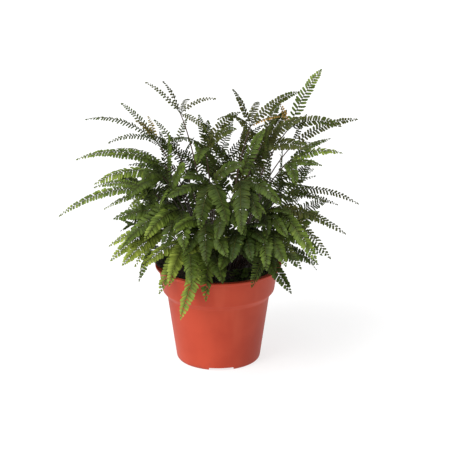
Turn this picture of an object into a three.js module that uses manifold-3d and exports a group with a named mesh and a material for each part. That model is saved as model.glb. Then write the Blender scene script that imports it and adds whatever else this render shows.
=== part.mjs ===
// A rosy maidenhair fern in a round nursery pot, in millimetres, +Z up.
// The origin is on the pot's axis, on the surface that the pot stands on. The pot's front is towards -Y.
//
// Each frond is a fan of narrow fingers that forks from the top of a thin dark stem, and every stem rises
// from the rhizome. A finger is one thin arched blade whose outline is cut to the rib, so that it shows
// pairs of leaflets.

import * as THREE from "three";
import { mergeVertices } from "three/addons/utils/BufferGeometryUtils.js";
import Module from "manifold-3d";

const wasm = await Module();
wasm.setup();

// ---------------------------------------------------------------- driving dimensions

const GAP = 0.3; // clearance between pieces that touch
const SAME_PLACE = 1e-4; // corners nearer to each other than this are one corner

const POT = {
  height: 94,
  lipRadius: 60,
  collarTopRadius: 56.6,
  collarBottomRadius: 53.2,
  collarBottom: 69, // height of the collar's lower edge
  shoulder: 5.6, // drop of the slanted step below the collar
  bodyTopRadius: 48.6,
  footRadius: 40,
  wall: 1.4,
  lean: 8, // how far the walls lean outwards, in degrees
  lipHeight: 2.2,
  lipSlant: 1.2, // height of the slanted face under the lip
  lipRound: 0.55,
  footRound: 3,
  footWidth: 5,
  channel: 2.6, // height of the drain channel under the floor
  padRadius: 12, // flat pad in the middle of the base
  slant: 1.5, // run of the slanted sides of the pad and the foot
  notches: 3,
  notchWidth: 23.5,
  notchTurn: 4.4, // how far the front notch stands to the right, in degrees
  holes: 4,
  holeRadius: 3.6,
  holeCircle: 22,
  holeSides: 8,
  segments: 30,
};

const SOIL = {
  edge: 88.5, // height of the surface without its swell and bumps
  swell: 2.2,
  bumps: 1.1,
  waves: { x: 0.31, y: 0.27, start: 1.3, slantX: 0.13, slantY: 0.19 }, // radians for each mm
  rings: [0.8, 0.55], // where the surface has rings of corners, as shares of its radius
  topClear: 1.6, // how much wider the surface is than the soil at the foot of the collar
  shoulderClear: 0.6, // extra clearance where the pot's wall bends
  segments: 20,
  clumpSides: 7,
  clumpLevels: 4,
};

// Lumps of peat and old roots that are part of the soil and lean over the rim.
const CLUMPS = [
  { centre: [-50.5, -3, 93], size: [9.5, 12, 7.5] },
  { centre: [47, 12, 95.5], size: [13, 17, 10] },
];

const RHIZOME = {
  radius: 31,
  height: 9.5,
  base: 86,
  knobs: 1,
  waves: { x: 5, y: 4, skew: 2, start: 1 }, // how often the knobs come, in radians for each radius
  flat: 0.6, // height of a knob as a share of its width
  segments: 12,
  levels: 6,
  bareEdge: 11, // the outer part that no stem grows from
};

const STEM = { radius: 1, sides: 3, steps: 3, depth: 5, bow: 0.42, rise: 0.72, spread: 26 };

const KNUCKLE = { radius: 1.9, half: 1.5, sides: 3 }; // the short rod that a frond's fingers grow from

const BLADE = {
  thickness: 0.8,
  rib: 0.65, // half width of the rib where the outline is cut to it
  bare: 0.15, // share of the length without leaflets, next to the fork
  pairLength: 22, // length of rib for one pair of leaflets
  fewestPairs: 3,
  mostPairs: 4,
  reach: 0.66, // where a leaflet's tip stands, as a share of its pair's length
  arch: 0.1, // rise of the middle over the straight line, as a share of the length
  archRange: 0.09,
};

// The half width of a finger comes from its length. Its outline swells from the foot to where it is full,
// and then narrows to the tip.
const WIDTH = {
  share: 0.125, // half width as a share of the length
  least: 5,
  most: 8.4,
  foot: 0.4, // width at the foot against the full width
  full: 0.42, // where the outline is full, as a share of the length
  narrowing: 2.6,
  bluntness: 0.75,
};

// Each attempt to find a clear way bends a finger or turns a root a little further than the one before.
const CLEAR = {
  gap: 0.45, // between fronds
  ownGap: 0.25, // between a stem and its own fingers
  attempts: 70,
  sway: 0.45, // how much further a tip may move at each attempt
  roll: 0.9, // how far a blade may turn about its rib, in radians
  turn: 0.04, // how much further a root may turn at each attempt, in radians
  newFaces: 26, // the most faces that joining a finger to its fan may add
};

const SEED = 20265;

// ---------------------------------------------------------------- where the fronds grow

// Fronds that the front view shows: the fork at the top of the stem, the tip of each finger, and how wide
// the fingers are against the usual width.
const FRONT_FACE = [0, -0.6, 0.8]; // the way that the upper side of these fronds looks
const VIEWER_FACE = [-0.4, -1, 0.4]; // the same for a frond that hangs more upright
const FRONT_FRONDS = [
  {
    fork: [-35, 10, 237],
    wide: 0.55,
    tips: [[-67, 25, 263], [-50, 2, 269], [-3, 6, 252], [-6, -20, 224], [-28, 60, 238]],
  },
  {
    fork: [30, 6, 226],
    wide: 0.6,
    tips: [[14, 0, 262], [75, 20, 255], [0, -22, 240], [62, -12, 240], [38, 60, 236]],
  },
  {
    fork: [66, 20, 220],
    wide: 0.75,
    face: VIEWER_FACE,
    tips: [[95, 15, 277], [112, -10, 230], [58, 34, 240]],
  },
  {
    fork: [70, 14, 206],
    wide: 0.55,
    tips: [[130, 27, 227], [96, 34, 198], [84, 50, 226]],
  },
  {
    fork: [64, -6, 194],
    wide: 0.85,
    tips: [[104, 10, 213], [113, -18, 207], [93, -42, 202], [70, -62, 190]],
  },
  {
    fork: [62, 8, 160],
    wide: 0.65,
    tips: [[92, 26, 172], [131, 2, 152], [114, 34, 141], [98, -16, 160]],
  },
  {
    fork: [54, -28, 156],
    wide: 0.9,
    tips: [[116, -45, 138], [101, -64, 121], [88, -86, 125], [104, -22, 138]],
  },
  {
    fork: [40, -38, 138],
    wide: 1,
    tips: [[60, -100, 126], [96, -30, 112], [74, -84, 118], [44, -104, 122]],
  },
  {
    fork: [22, -26, 128],
    wide: 1,
    tips: [[69, -56, 95], [34, -88, 132], [2, -92, 120]],
  },
  {
    fork: [-8, -30, 122],
    wide: 1.15,
    tips: [[-34, -79, 68], [-11, -82, 87], [4, -104, 112], [-26, -88, 134], [20, -80, 140]],
  },
  {
    fork: [-27, -33, 126],
    wide: 1.1,
    tips: [[-54, -56, 84], [-44, -84, 102], [-24, -100, 108], [-70, -58, 110]],
  },
  {
    fork: [-50, -18, 132],
    wide: 0.9,
    tips: [[-98, -50, 114], [-86, -74, 118], [-78, -18, 97], [-103, 0, 111]],
  },
  {
    fork: [-34, -42, 160],
    wide: 1.15,
    tips: [[-65, -86, 146], [-94, -56, 156], [-30, -100, 142], [-82, -74, 140], [-48, -88, 138]],
  },
  {
    fork: [-62, -4, 166],
    wide: 0.65,
    tips: [[-148, -10, 144], [-108, 18, 142], [-116, 10, 166], [-85, -24, 152]],
  },
  {
    fork: [-50, 6, 188],
    wide: 0.65,
    tips: [[-132, 6, 194], [-104, -24, 206], [-97, 44, 194]],
  },
  {
    fork: [-52, -14, 184],
    wide: 1,
    tips: [[-112, -36, 183], [-84, -62, 176], [-66, -70, 196]],
  },
  {
    fork: [-58, 12, 210],
    wide: 0.65,
    tips: [[-123, 12, 231], [-90, 24, 243], [-75, -10, 235], [-101, 0, 212], [-66, 34, 228]],
  },
  {
    fork: [20, -24, 182],
    wide: 1.1,
    tips: [[42, -22, 230], [37, -84, 164], [20, -100, 156], [56, -66, 172]],
  },
  {
    fork: [-6, -38, 184],
    wide: 1.15,
    tips: [[-16, -92, 158], [8, -96, 164], [-34, -74, 200], [22, -62, 208], [-48, -66, 178]],
  },
  {
    fork: [-12, 6, 204],
    wide: 0.85,
    tips: [[-22, -10, 240], [16, -22, 230], [-42, -28, 222], [20, 26, 234], [-18, -54, 208]],
  },
  {
    fork: [-12, -50, 150],
    wide: 1.15,
    tips: [[-30, -96, 136], [-10, -100, 127], [7, -98, 133], [-40, -90, 154]],
  },
  {
    fork: [20, -44, 144],
    wide: 1.1,
    tips: [[11, -96, 126], [30, -92, 129], [47, -84, 134], [41, -84, 158]],
  },
  {
    fork: [7, -42, 166],
    wide: 1.15,
    tips: [[24, -90, 152], [-2, -92, 147], [41, -76, 169], [-17, -84, 168]],
  },
  {
    fork: [41, -30, 154],
    wide: 1,
    tips: [[62, -72, 144], [41, -82, 141], [67, -58, 161], [54, -50, 179]],
  },
  {
    fork: [12, -14, 118],
    wide: 1.1,
    face: VIEWER_FACE,
    tips: [[46, -34, 130], [34, -52, 112], [-14, -46, 126], [2, -34, 154]],
  },
  {
    fork: [40, 16, 204],
    wide: 0.9,
    tips: [[58, 34, 240], [80, 8, 234], [52, -12, 236], [84, -20, 212], [16, 24, 230]],
  },
  {
    fork: [-40, 20, 200],
    wide: 0.8,
    tips: [[-60, 36, 224], [-30, 30, 226], [-72, 4, 216], [-44, -16, 222]],
  },
  {
    fork: [-16, 34, 116],
    wide: 1.25,
    tips: [[-62, 40, 120], [-52, 48, 142], [-26, 58, 152], [4, 58, 144]],
  },
  {
    fork: [24, 34, 120],
    wide: 1.25,
    tips: [[66, 36, 126], [54, 46, 146], [30, 54, 158], [-2, 60, 126]],
  },
];

// The other fronds fill the dome by a rule: rings of stems that all lean alike, each frond with an even
// fan whose tips end on the dome. The lower rings leave out the front, where the fronds above grow.
const DOME = {
  middle: 100, // height of its middle
  level: 118, // reach of a level frond from the middle
  rise: 142, // reach of an upright frond
  waist: 0.82, // share of that reach which the lowest fronds have
  shoulder: 25, // lean above which they have all of it, in degrees
};
const FORK_SHARE = 0.58; // the fork's place between the dome's middle and its surface
const RINGS = [
  { count: 1, first: 90, step: 0, lean: 68, fingers: 4, wide: 0.8 },
  { count: 6, first: -20, step: 44, lean: 46, fingers: 5, wide: 0.95 },
  { count: 5, first: -28, step: 54, lean: 25, fingers: 4, wide: 1.05 },
  { count: 4, first: -36, step: 70, lean: 8, fingers: 4, wide: 1.15 },
];
// The fan of a ring frond, in degrees: the directions of its fingers round the fork and how far they reach.
const FAN = { start: -35, sweep: 250, spread: 38, squash: 0.62, leastLevel: 0.35 };
// How far the ring fronds stray, in degrees and as a share.
const UNEVEN = { turn: 9, lean: 5, finger: 10, length: 0.12 };
const RING_FACE = { outward: 0.75, up: 0.65 };

// ---------------------------------------------------------------- solids

const DEGREES = Math.PI / 180;
const UP = new THREE.Vector3(0, 0, 1);

// A closed three.js geometry as a solid that can be joined and cut.
function solidOf(geometry) {
  const bare = new THREE.BufferGeometry();
  bare.setAttribute("position", geometry.getAttribute("position").clone());
  if (geometry.index) bare.setIndex(geometry.index.clone());
  const merged = mergeVertices(bare, SAME_PLACE);
  return new wasm.Manifold(
    new wasm.Mesh({
      numProp: 3,
      vertProperties: new Float32Array(merged.getAttribute("position").array),
      triVerts: new Uint32Array(merged.index.array),
    }),
  );
}

function geometryOf(solid) {
  const mesh = solid.getMesh();
  const geometry = new THREE.BufferGeometry();
  geometry.setAttribute("position", new THREE.BufferAttribute(mesh.vertProperties, 3));
  geometry.setIndex(new THREE.BufferAttribute(mesh.triVerts, 1));
  geometry.computeVertexNormals();
  return geometry;
}

// A profile of [radius, height] points turned round the Z axis.
function turned(points, segments) {
  const outline = points.map(([radius, height]) => new THREE.Vector2(radius, height));
  return new THREE.LatheGeometry(outline, segments).rotateX(90 * DEGREES);
}

// A rod of few sides along a path, with a flat cut at each end.
function rodAlong(path, radius, sides, steps) {
  const section = new THREE.Shape();
  for (let i = 0; i < sides; i++) {
    const angle = (i / sides) * 360 * DEGREES;
    const corner = [radius * Math.cos(angle), radius * Math.sin(angle)];
    if (i === 0) section.moveTo(...corner);
    else section.lineTo(...corner);
  }
  section.closePath();
  return new THREE.ExtrudeGeometry(section, { steps, extrudePath: path });
}

// Draws from 0 to 1, the same ones each time for one seed.
function makeDraw(seed) {
  let state = seed;
  const draw = () => {
    state = (state * 1664525 + 1013904223) % 4294967296;
    return state / 4294967296;
  };
  for (let i = 0; i < 3; i++) draw();
  return draw;
}

// ---------------------------------------------------------------- pot

function buildPot() {
  const p = POT;
  const floor = p.channel + p.wall;
  const lipBottom = p.height - p.lipHeight;
  const shoulderBottom = p.collarBottom - p.shoulder;
  const inner = p.wall / Math.cos(p.lean * DEGREES);
  const profile = [
    [0, 0],
    [p.padRadius, 0],
    [p.padRadius + p.slant, p.channel],
    [p.footRadius - p.footWidth - p.slant, p.channel],
    [p.footRadius - p.footWidth, 0],
    [p.footRadius - p.footRound, 0],
    [p.footRadius - 0.1 * p.footRound, 0.7 * p.footRound],
    [p.bodyTopRadius, shoulderBottom],
    [p.collarBottomRadius, p.collarBottom],
    [p.collarTopRadius, lipBottom - p.lipSlant],
    [p.lipRadius, lipBottom],
    [p.lipRadius, p.height - p.lipRound],
    [p.lipRadius - p.lipRound, p.height],
    [p.collarTopRadius - inner, p.height],
    [p.collarBottomRadius - inner, p.collarBottom + 0.7 * p.wall],
    [p.bodyTopRadius - inner, shoulderBottom + 0.3 * p.wall],
    [p.footRadius - inner, floor],
    [0, floor],
  ];
  let pot = solidOf(turned(profile, p.segments));
  for (let i = 0; i < p.notches; i++) {
    const angle = ((i / p.notches) * 360 - 90 + p.notchTurn) * DEGREES;
    const notch = new THREE.BoxGeometry(3 * p.footWidth, p.notchWidth, 2 * p.channel);
    pot = pot.subtract(solidOf(notch.translate(p.footRadius, 0, 0).rotateZ(angle)));
  }
  for (let i = 0; i < p.holes; i++) {
    const angle = ((i + 0.5) / p.holes) * 360 * DEGREES;
    const hole = new THREE.CylinderGeometry(p.holeRadius, p.holeRadius, 4 * p.wall, p.holeSides);
    hole.rotateX(90 * DEGREES).translate(p.holeCircle, 0, p.channel + p.wall / 2);
    pot = pot.subtract(solidOf(hole.rotateZ(angle)));
  }
  return pot;
}

// ---------------------------------------------------------------- soil and rhizome

// The soil's surface is highest in the middle and uneven all over.
function soilHeight(x, y) {
  const radius = Math.hypot(x, y) / POT.collarTopRadius;
  const swell = SOIL.swell * (1 - radius * radius);
  const w = SOIL.waves;
  const bumps = Math.sin(x * w.x + w.start) * Math.cos(y * w.y) + Math.sin(x * w.slantX - y * w.slantY);
  return SOIL.edge + swell + SOIL.bumps * bumps * (1 - radius / 2);
}

function soilBlank() {
  const inner = POT.wall / Math.cos(POT.lean * DEGREES) + GAP;
  const bottom = POT.channel + POT.wall + GAP;
  const shoulderBottom = POT.collarBottom - POT.shoulder;
  const top = POT.collarBottomRadius - inner + SOIL.topClear;
  const profile = [
    [0, bottom],
    [POT.footRadius - inner - GAP, bottom],
    [POT.bodyTopRadius - inner, shoulderBottom + GAP + SOIL.shoulderClear],
    [POT.collarBottomRadius - inner, POT.collarBottom + POT.wall + SOIL.shoulderClear],
    [top, SOIL.edge],
    ...SOIL.rings.map((share) => [top * share, SOIL.edge]),
    [0, SOIL.edge],
  ];
  const blank = turned(profile, SOIL.segments);
  const corners = blank.getAttribute("position");
  for (let i = 0; i < corners.count; i++) {
    if (Math.abs(corners.getZ(i) - SOIL.edge) > SAME_PLACE) continue;
    corners.setZ(i, soilHeight(corners.getX(i), corners.getY(i)));
  }
  return solidOf(blank);
}

// A clump, cut clear of the pot's collar and lip.
function clumpBlank({ centre, size }) {
  const ball = new THREE.SphereGeometry(1, SOIL.clumpSides, SOIL.clumpLevels).rotateX(90 * DEGREES);
  const inner = POT.wall / Math.cos(POT.lean * DEGREES) + GAP;
  const room = [
    [POT.collarBottomRadius - inner, POT.collarBottom],
    [2 * POT.lipRadius, POT.collarBottom],
    [2 * POT.lipRadius, POT.height + GAP],
    [POT.collarTopRadius - inner, POT.height + GAP],
    [POT.collarBottomRadius - inner, POT.collarBottom],
  ];
  return solidOf(ball.scale(...size).translate(...centre)).subtract(solidOf(turned(room, POT.segments)));
}

// The rhizome is the low knobbly mound of short rootstocks that every stem grows from.
function rhizomeBlank(grown) {
  const mound = new THREE.SphereGeometry(1, RHIZOME.segments, RHIZOME.levels).rotateX(90 * DEGREES);
  const corners = mound.getAttribute("position");
  const w = RHIZOME.waves;
  for (let i = 0; i < corners.count; i++) {
    const [x, y, z] = [corners.getX(i), corners.getY(i), corners.getZ(i)];
    const knob = RHIZOME.knobs * Math.sin(w.x * x + w.start) * Math.cos(w.y * y - w.skew * x);
    const radius = RHIZOME.radius + knob + grown;
    const height = RHIZOME.height + knob * RHIZOME.flat + grown;
    corners.setXYZ(i, x * radius, y * radius, RHIZOME.base + z * height);
  }
  return solidOf(mound);
}

// ---------------------------------------------------------------- fingers

class Finger {
  constructor({ fork, face, wide }, tip, arch, roll) {
    this.length = fork.distanceTo(tip);
    const middle = fork.clone().lerp(tip, 0.5);
    middle.z += 2 * arch * this.length;
    this.curve = new THREE.QuadraticBezierCurve3(fork, middle, tip);
    this.face = face;
    this.roll = roll;
    this.halfWidth = wide * Math.min(WIDTH.most, Math.max(WIDTH.least, WIDTH.share * this.length));
  }

  halfWidthAt(s) {
    const swell = WIDTH.foot + (1 - WIDTH.foot) * Math.min(1, s / WIDTH.full);
    return this.halfWidth * swell * Math.pow(1 - Math.pow(s, WIDTH.narrowing), WIDTH.bluntness);
  }

  // The directions across the blade and out of its face, at a share of its length.
  frameAt(s) {
    const along = this.curve.getTangent(s);
    const level = this.face.clone().cross(along).normalize();
    const lift = along.clone().cross(level);
    const across = level.clone().multiplyScalar(Math.cos(this.roll));
    across.addScaledVector(lift, Math.sin(this.roll));
    return { across, out: along.clone().cross(across) };
  }

  // One thin blade, cut to the rib between its pairs of leaflets.
  solid() {
    const wanted = Math.round(this.length / BLADE.pairLength);
    const pairs = Math.min(BLADE.mostPairs, Math.max(BLADE.fewestPairs, wanted));
    const pitch = (1 - BLADE.bare) / pairs;
    const stations = [{ s: 0, half: BLADE.rib }];
    for (let pair = 0; pair < pairs; pair++) {
      const start = BLADE.bare + pair * pitch;
      const peak = start + BLADE.reach * pitch;
      stations.push({ s: start, half: BLADE.rib });
      stations.push({ s: peak, half: Math.max(this.halfWidthAt(peak), 2 * BLADE.rib) });
    }
    stations.push({ s: 1, half: BLADE.rib });
    const steps = stations.length - 1;
    const blade = new THREE.BoxGeometry(1, 1, 1, steps, 1, 1);
    const corners = blade.getAttribute("position");
    for (let i = 0; i < corners.count; i++) {
      const { s, half } = stations[Math.round((corners.getX(i) + 0.5) * steps)];
      const { across, out } = this.frameAt(Math.max(s, BLADE.bare)); // the bare part is straight
      const point = this.curve.getPoint(s);
      point.addScaledVector(across, 2 * corners.getY(i) * half);
      point.addScaledVector(out, corners.getZ(i) * BLADE.thickness);
      corners.setXYZ(i, point.x, point.y, point.z);
    }
    return solidOf(blade);
  }
}

// ---------------------------------------------------------------- room for each piece

// The solids that stand already, each with its box, its owner's number and the clearance that its owner's
// other pieces keep from it, which is 0 for a piece that they join.
class Room {
  constructor() {
    this.held = [];
  }

  hold(solid, owner, ownGap) {
    this.held.push({ solid, owner, ownGap, box: solid.boundingBox() });
  }

  isClear(solid, owner) {
    const box = solid.boundingBox();
    return this.held.every((other) => {
      const gap = other.owner === owner ? other.ownGap : CLEAR.gap;
      const apart = (i) => box.min[i] > other.box.max[i] + gap || box.max[i] < other.box.min[i] - gap;
      if (gap === 0 || apart(0) || apart(1) || apart(2)) return true;
      return solid.minGap(other.solid, gap) >= gap;
    });
  }
}

// A finger is bent a little further at each attempt until it clears the other fronds, and its neighbours
// in the fan too: where they cross beyond the knuckle, joining them makes many more faces.
function addFinger(fan, plan, tip, owner, room, draw) {
  for (let attempt = 0; attempt < CLEAR.attempts; attempt++) {
    const sway = 2 * CLEAR.sway * attempt;
    const shift = [draw() - 0.5, draw() - 0.5, draw() - 0.5].map((value) => sway * value);
    const arch = BLADE.arch + (draw() - 0.5) * BLADE.archRange;
    const roll = (draw() - 0.5) * CLEAR.roll;
    const end = tip.clone().add(new THREE.Vector3(...shift));
    const finger = new Finger(plan, end, arch, roll).solid();
    if (!room.isClear(finger, owner)) continue;
    const joined = fan.add(finger);
    if (joined.numTri() > fan.numTri() + finger.numTri() + CLEAR.newFaces) continue;
    return joined;
  }
  return fan;
}

// ---------------------------------------------------------------- stems

// Stems spread from the rhizome like rays: the flatter a stem leans, the further out its root is.
class Stem {
  constructor(fork, turn) {
    const lean = Math.atan2(Math.hypot(fork.x, fork.y), fork.z - RHIZOME.base);
    const azimuth = Math.atan2(fork.y, fork.x) + turn;
    const distance = Math.min(RHIZOME.radius - RHIZOME.bareEdge, STEM.spread * lean);
    const root = new THREE.Vector3(distance * Math.cos(azimuth), distance * Math.sin(azimuth), 0);
    root.z = RHIZOME.base + RHIZOME.height * Math.sqrt(1 - (distance / RHIZOME.radius) ** 2) - STEM.depth;
    const bend = root.clone().lerp(fork, STEM.bow);
    bend.z = root.z + STEM.rise * (fork.z - root.z);
    this.fork = fork;
    this.arrival = fork.clone().sub(bend).normalize();
    const top = this.alongArrival(-KNUCKLE.half - GAP);
    this.curve = new THREE.QuadraticBezierCurve3(root, bend, top);
  }

  alongArrival(distance) {
    return this.fork.clone().addScaledVector(this.arrival, distance);
  }

  solid() {
    return solidOf(rodAlong(this.curve, STEM.radius, STEM.sides, STEM.steps));
  }

  knuckle() {
    const line = new THREE.LineCurve3(this.alongArrival(-KNUCKLE.half), this.alongArrival(KNUCKLE.half));
    return solidOf(rodAlong(line, KNUCKLE.radius, KNUCKLE.sides, 1));
  }
}

// A stem's root is turned a little further round the rhizome until the stem clears those before it.
function growStem(plan, owner, room, draw) {
  for (let attempt = 0; attempt < CLEAR.attempts; attempt++) {
    const stem = new Stem(plan.fork, (draw() - 0.5) * CLEAR.turn * attempt);
    const solid = stem.solid();
    if (!room.isClear(solid, owner)) continue;
    room.hold(solid, owner, CLEAR.ownGap);
    room.hold(stem.knuckle(), owner, 0);
    return stem;
  }
  throw new Error(`no clear place for stem ${owner}`);
}

// ---------------------------------------------------------------- fronds

// The point at a share of the way to the dome's surface, at an azimuth and a lean in degrees.
function domePoint(azimuth, lean, share) {
  const high = Math.min(1, Math.max(0, lean / DOME.shoulder));
  const reach = share * (DOME.waist + (1 - DOME.waist) * high);
  const level = reach * DOME.level * Math.cos(lean * DEGREES);
  const [x, y] = [level * Math.cos(azimuth * DEGREES), level * Math.sin(azimuth * DEGREES)];
  return new THREE.Vector3(x, y, DOME.middle + reach * DOME.rise * Math.sin(lean * DEGREES));
}

function planFrontFrond({ fork, tips, face, wide }) {
  return {
    fork: new THREE.Vector3(...fork),
    tips: tips.map((tip) => new THREE.Vector3(...tip)),
    face: new THREE.Vector3(...(face || FRONT_FACE)).normalize(),
    wide,
  };
}

function planRingFrond(ring, place, draw) {
  const azimuth = ring.first + place * ring.step + (2 * draw() - 1) * UNEVEN.turn;
  const lean = ring.lean + (2 * draw() - 1) * UNEVEN.lean;
  const fork = domePoint(azimuth, lean, FORK_SHARE);
  const tips = [];
  for (let finger = 0; finger < ring.fingers; finger++) {
    const even = FAN.start + (FAN.sweep * finger) / (ring.fingers - 1);
    const direction = even + (2 * draw() - 1) * UNEVEN.finger;
    const level = Math.max(FAN.leastLevel, Math.cos(lean * DEGREES));
    const sideways = (FAN.spread * Math.cos(direction * DEGREES)) / level;
    const upwards = FAN.squash * FAN.spread * Math.sin(direction * DEGREES);
    tips.push(domePoint(azimuth + sideways, lean + upwards, 1 - UNEVEN.length * draw()));
  }
  const face = new THREE.Vector3(fork.x, fork.y, 0).normalize().multiplyScalar(RING_FACE.outward);
  return { fork, tips, face: face.addScaledVector(UP, RING_FACE.up).normalize(), wide: ring.wide };
}

// Every frond as a fork, the tips of its fingers and the way that its upper side looks.
function planFronds() {
  const plans = FRONT_FRONDS.map(planFrontFrond);
  const draw = makeDraw(SEED);
  for (const ring of RINGS) {
    for (let place = 0; place < ring.count; place++) plans.push(planRingFrond(ring, place, draw));
  }
  return plans;
}

// The fan of a frond: its fingers, joined at the knuckle that tops the stem.
function growFan(plan, stem, owner, room) {
  let fan = stem.knuckle();
  plan.tips.forEach((tip, place) => {
    fan = addFinger(fan, plan, tip, owner, room, makeDraw(SEED + 1000 * owner + 10 * place));
  });
  room.hold(fan, owner, 0);
  return fan;
}

// ---------------------------------------------------------------- the object

const MATERIALS = {
  pot: new THREE.MeshStandardMaterial({ color: 0xc4543c, roughness: 0.45, metalness: 0 }),
  soil: new THREE.MeshStandardMaterial({ color: 0x1c1712, roughness: 1, metalness: 0 }),
  stems: new THREE.MeshStandardMaterial({ color: 0x24140f, roughness: 0.35, metalness: 0 }),
  frond: new THREE.MeshStandardMaterial({ color: 0x4a6a24, roughness: 0.55, metalness: 0 }),
};

function addPiece(group, name, solid, material) {
  const mesh = new THREE.Mesh(geometryOf(solid), material);
  mesh.name = name;
  group.add(mesh);
}

function buildPlant() {
  const plans = planFronds();
  const room = new Room();
  const stems = plans.map((plan, owner) => growStem(plan, owner, room, makeDraw(SEED + owner)));
  let rhizome = rhizomeBlank(0);
  for (const stem of stems) rhizome = rhizome.add(stem.solid());
  const pot = buildPot();
  let soil = soilBlank();
  for (const clump of CLUMPS) soil = soil.add(clumpBlank(clump));
  soil = soil.subtract(rhizomeBlank(GAP));
  for (const solid of [pot, soil, rhizomeBlank(0)]) room.hold(solid, -1, 0);
  const group = new THREE.Group();
  addPiece(group, "pot", pot, MATERIALS.pot);
  addPiece(group, "soil", soil, MATERIALS.soil);
  addPiece(group, "rhizome_stems", rhizome, MATERIALS.stems);
  plans.forEach((plan, owner) => {
    const name = `frond_${String(owner + 1).padStart(2, "0")}`;
    addPiece(group, name, growFan(plan, stems[owner], owner, room), MATERIALS.frond);
  });
  return group;
}

const plant = buildPlant();

export default plant;
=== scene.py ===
"""The looks of a rosy maidenhair fern in a round nursery pot, in metres, +Z up.

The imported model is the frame: the pot's axis is the Z axis, the pot stands on z = 0 and faces -Y.
Each frond of the frame is dressed by finding where its fingers really ended up and growing ribs and leaflets
along them. The pot, the soil and the rhizome with its stems are dressed in the same places as their solids.
"""

from __future__ import annotations

import sys

import itertools
import logging
import math
import random
from collections.abc import Callable, Iterator
from dataclasses import dataclass
from enum import Enum

import bmesh
import bpy
from bmesh.types import BMesh
from bpy.types import Material, Mesh, Node, NodeSocket, Object
from mathutils import Matrix, Vector, noise
from mathutils.kdtree import KDTree


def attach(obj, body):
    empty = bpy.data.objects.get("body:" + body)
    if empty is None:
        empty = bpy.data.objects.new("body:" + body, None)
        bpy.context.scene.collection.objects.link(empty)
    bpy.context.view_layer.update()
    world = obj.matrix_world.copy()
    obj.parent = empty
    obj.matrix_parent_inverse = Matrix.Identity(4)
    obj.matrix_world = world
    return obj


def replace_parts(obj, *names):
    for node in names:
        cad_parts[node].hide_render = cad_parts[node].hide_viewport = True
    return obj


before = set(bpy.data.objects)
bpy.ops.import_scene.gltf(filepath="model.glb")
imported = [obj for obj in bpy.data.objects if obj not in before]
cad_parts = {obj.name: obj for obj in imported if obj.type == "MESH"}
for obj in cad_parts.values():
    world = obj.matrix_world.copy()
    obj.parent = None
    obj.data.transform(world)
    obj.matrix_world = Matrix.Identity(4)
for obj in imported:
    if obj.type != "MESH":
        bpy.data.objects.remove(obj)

MM = 0.001
LOG = logging.getLogger("fern")

Pair = tuple[float, float]
Triple = tuple[float, float, float]
Colour = tuple[float, float, float, float]
Place = Callable[[Vector], Vector]

LEAF_MAP = "leaf"  # the UV map of leaflets and ribs: along the piece, and across it
TONE = "tone"  # the attribute of leaflets: freshness, youth, chance and coolness, which paints shade in blue-green
UP = Vector((0, 0, 1))
NO_TONE: Colour = (0, 0, 0, 0)


def srgb(red: int, green: int, blue: int) -> Colour:
    """A colour given from 0 to 255 as the linear colour that a shader takes."""
    shares = (value / 255 for value in (red, green, blue))
    return (*(s / 12.92 if s <= 0.04045 else ((s + 0.055) / 1.055) ** 2.4 for s in shares), 1.0)


# ---- shader maths


def arithmetic(operation: str, turned: bool = False) -> Callable[[Signal, Signal | float], Signal]:
    """Makes a method of Signal that takes one step of arithmetic with another value.

    Args:
        operation: The Math node's operation.
        turned: Whether the other value comes first.

    Returns:
        The method.
    """

    def step(self: Signal, other: Signal | float) -> Signal:
        """The result of the step."""
        return self.shader.math(operation, *((other, self) if turned else (self, other)))

    return step


@dataclass
class Signal:
    """A value inside a shader that works in Python expressions."""

    shader: Shader
    socket: NodeSocket

    __add__ = __radd__ = arithmetic("ADD")
    __sub__ = arithmetic("SUBTRACT")
    __rsub__ = arithmetic("SUBTRACT", turned=True)
    __mul__ = __rmul__ = arithmetic("MULTIPLY")
    __truediv__ = arithmetic("DIVIDE")
    __pow__ = arithmetic("POWER")

    def __abs__(self) -> Signal:
        """The size of self without its sign."""
        return self.shader.math("ABSOLUTE", self)

    def clamped(self) -> Signal:
        """self kept from 0 to 1."""
        return self.shader.math("ADD", self, 0.0, clamp=True)

    def sine(self) -> Signal:
        """The sine of self in radians."""
        return self.shader.math("SINE", self)

    def rising(self, start: float, end: float) -> Signal:
        """0 up to start, 1 from end on, and a smooth step between them."""
        node = self.shader.add("ShaderNodeMapRange", {"interpolation_type": "SMOOTHSTEP"},
                               {"Value": self, "From Min": start, "From Max": end})
        return Signal(self.shader, node.outputs[0])


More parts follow.
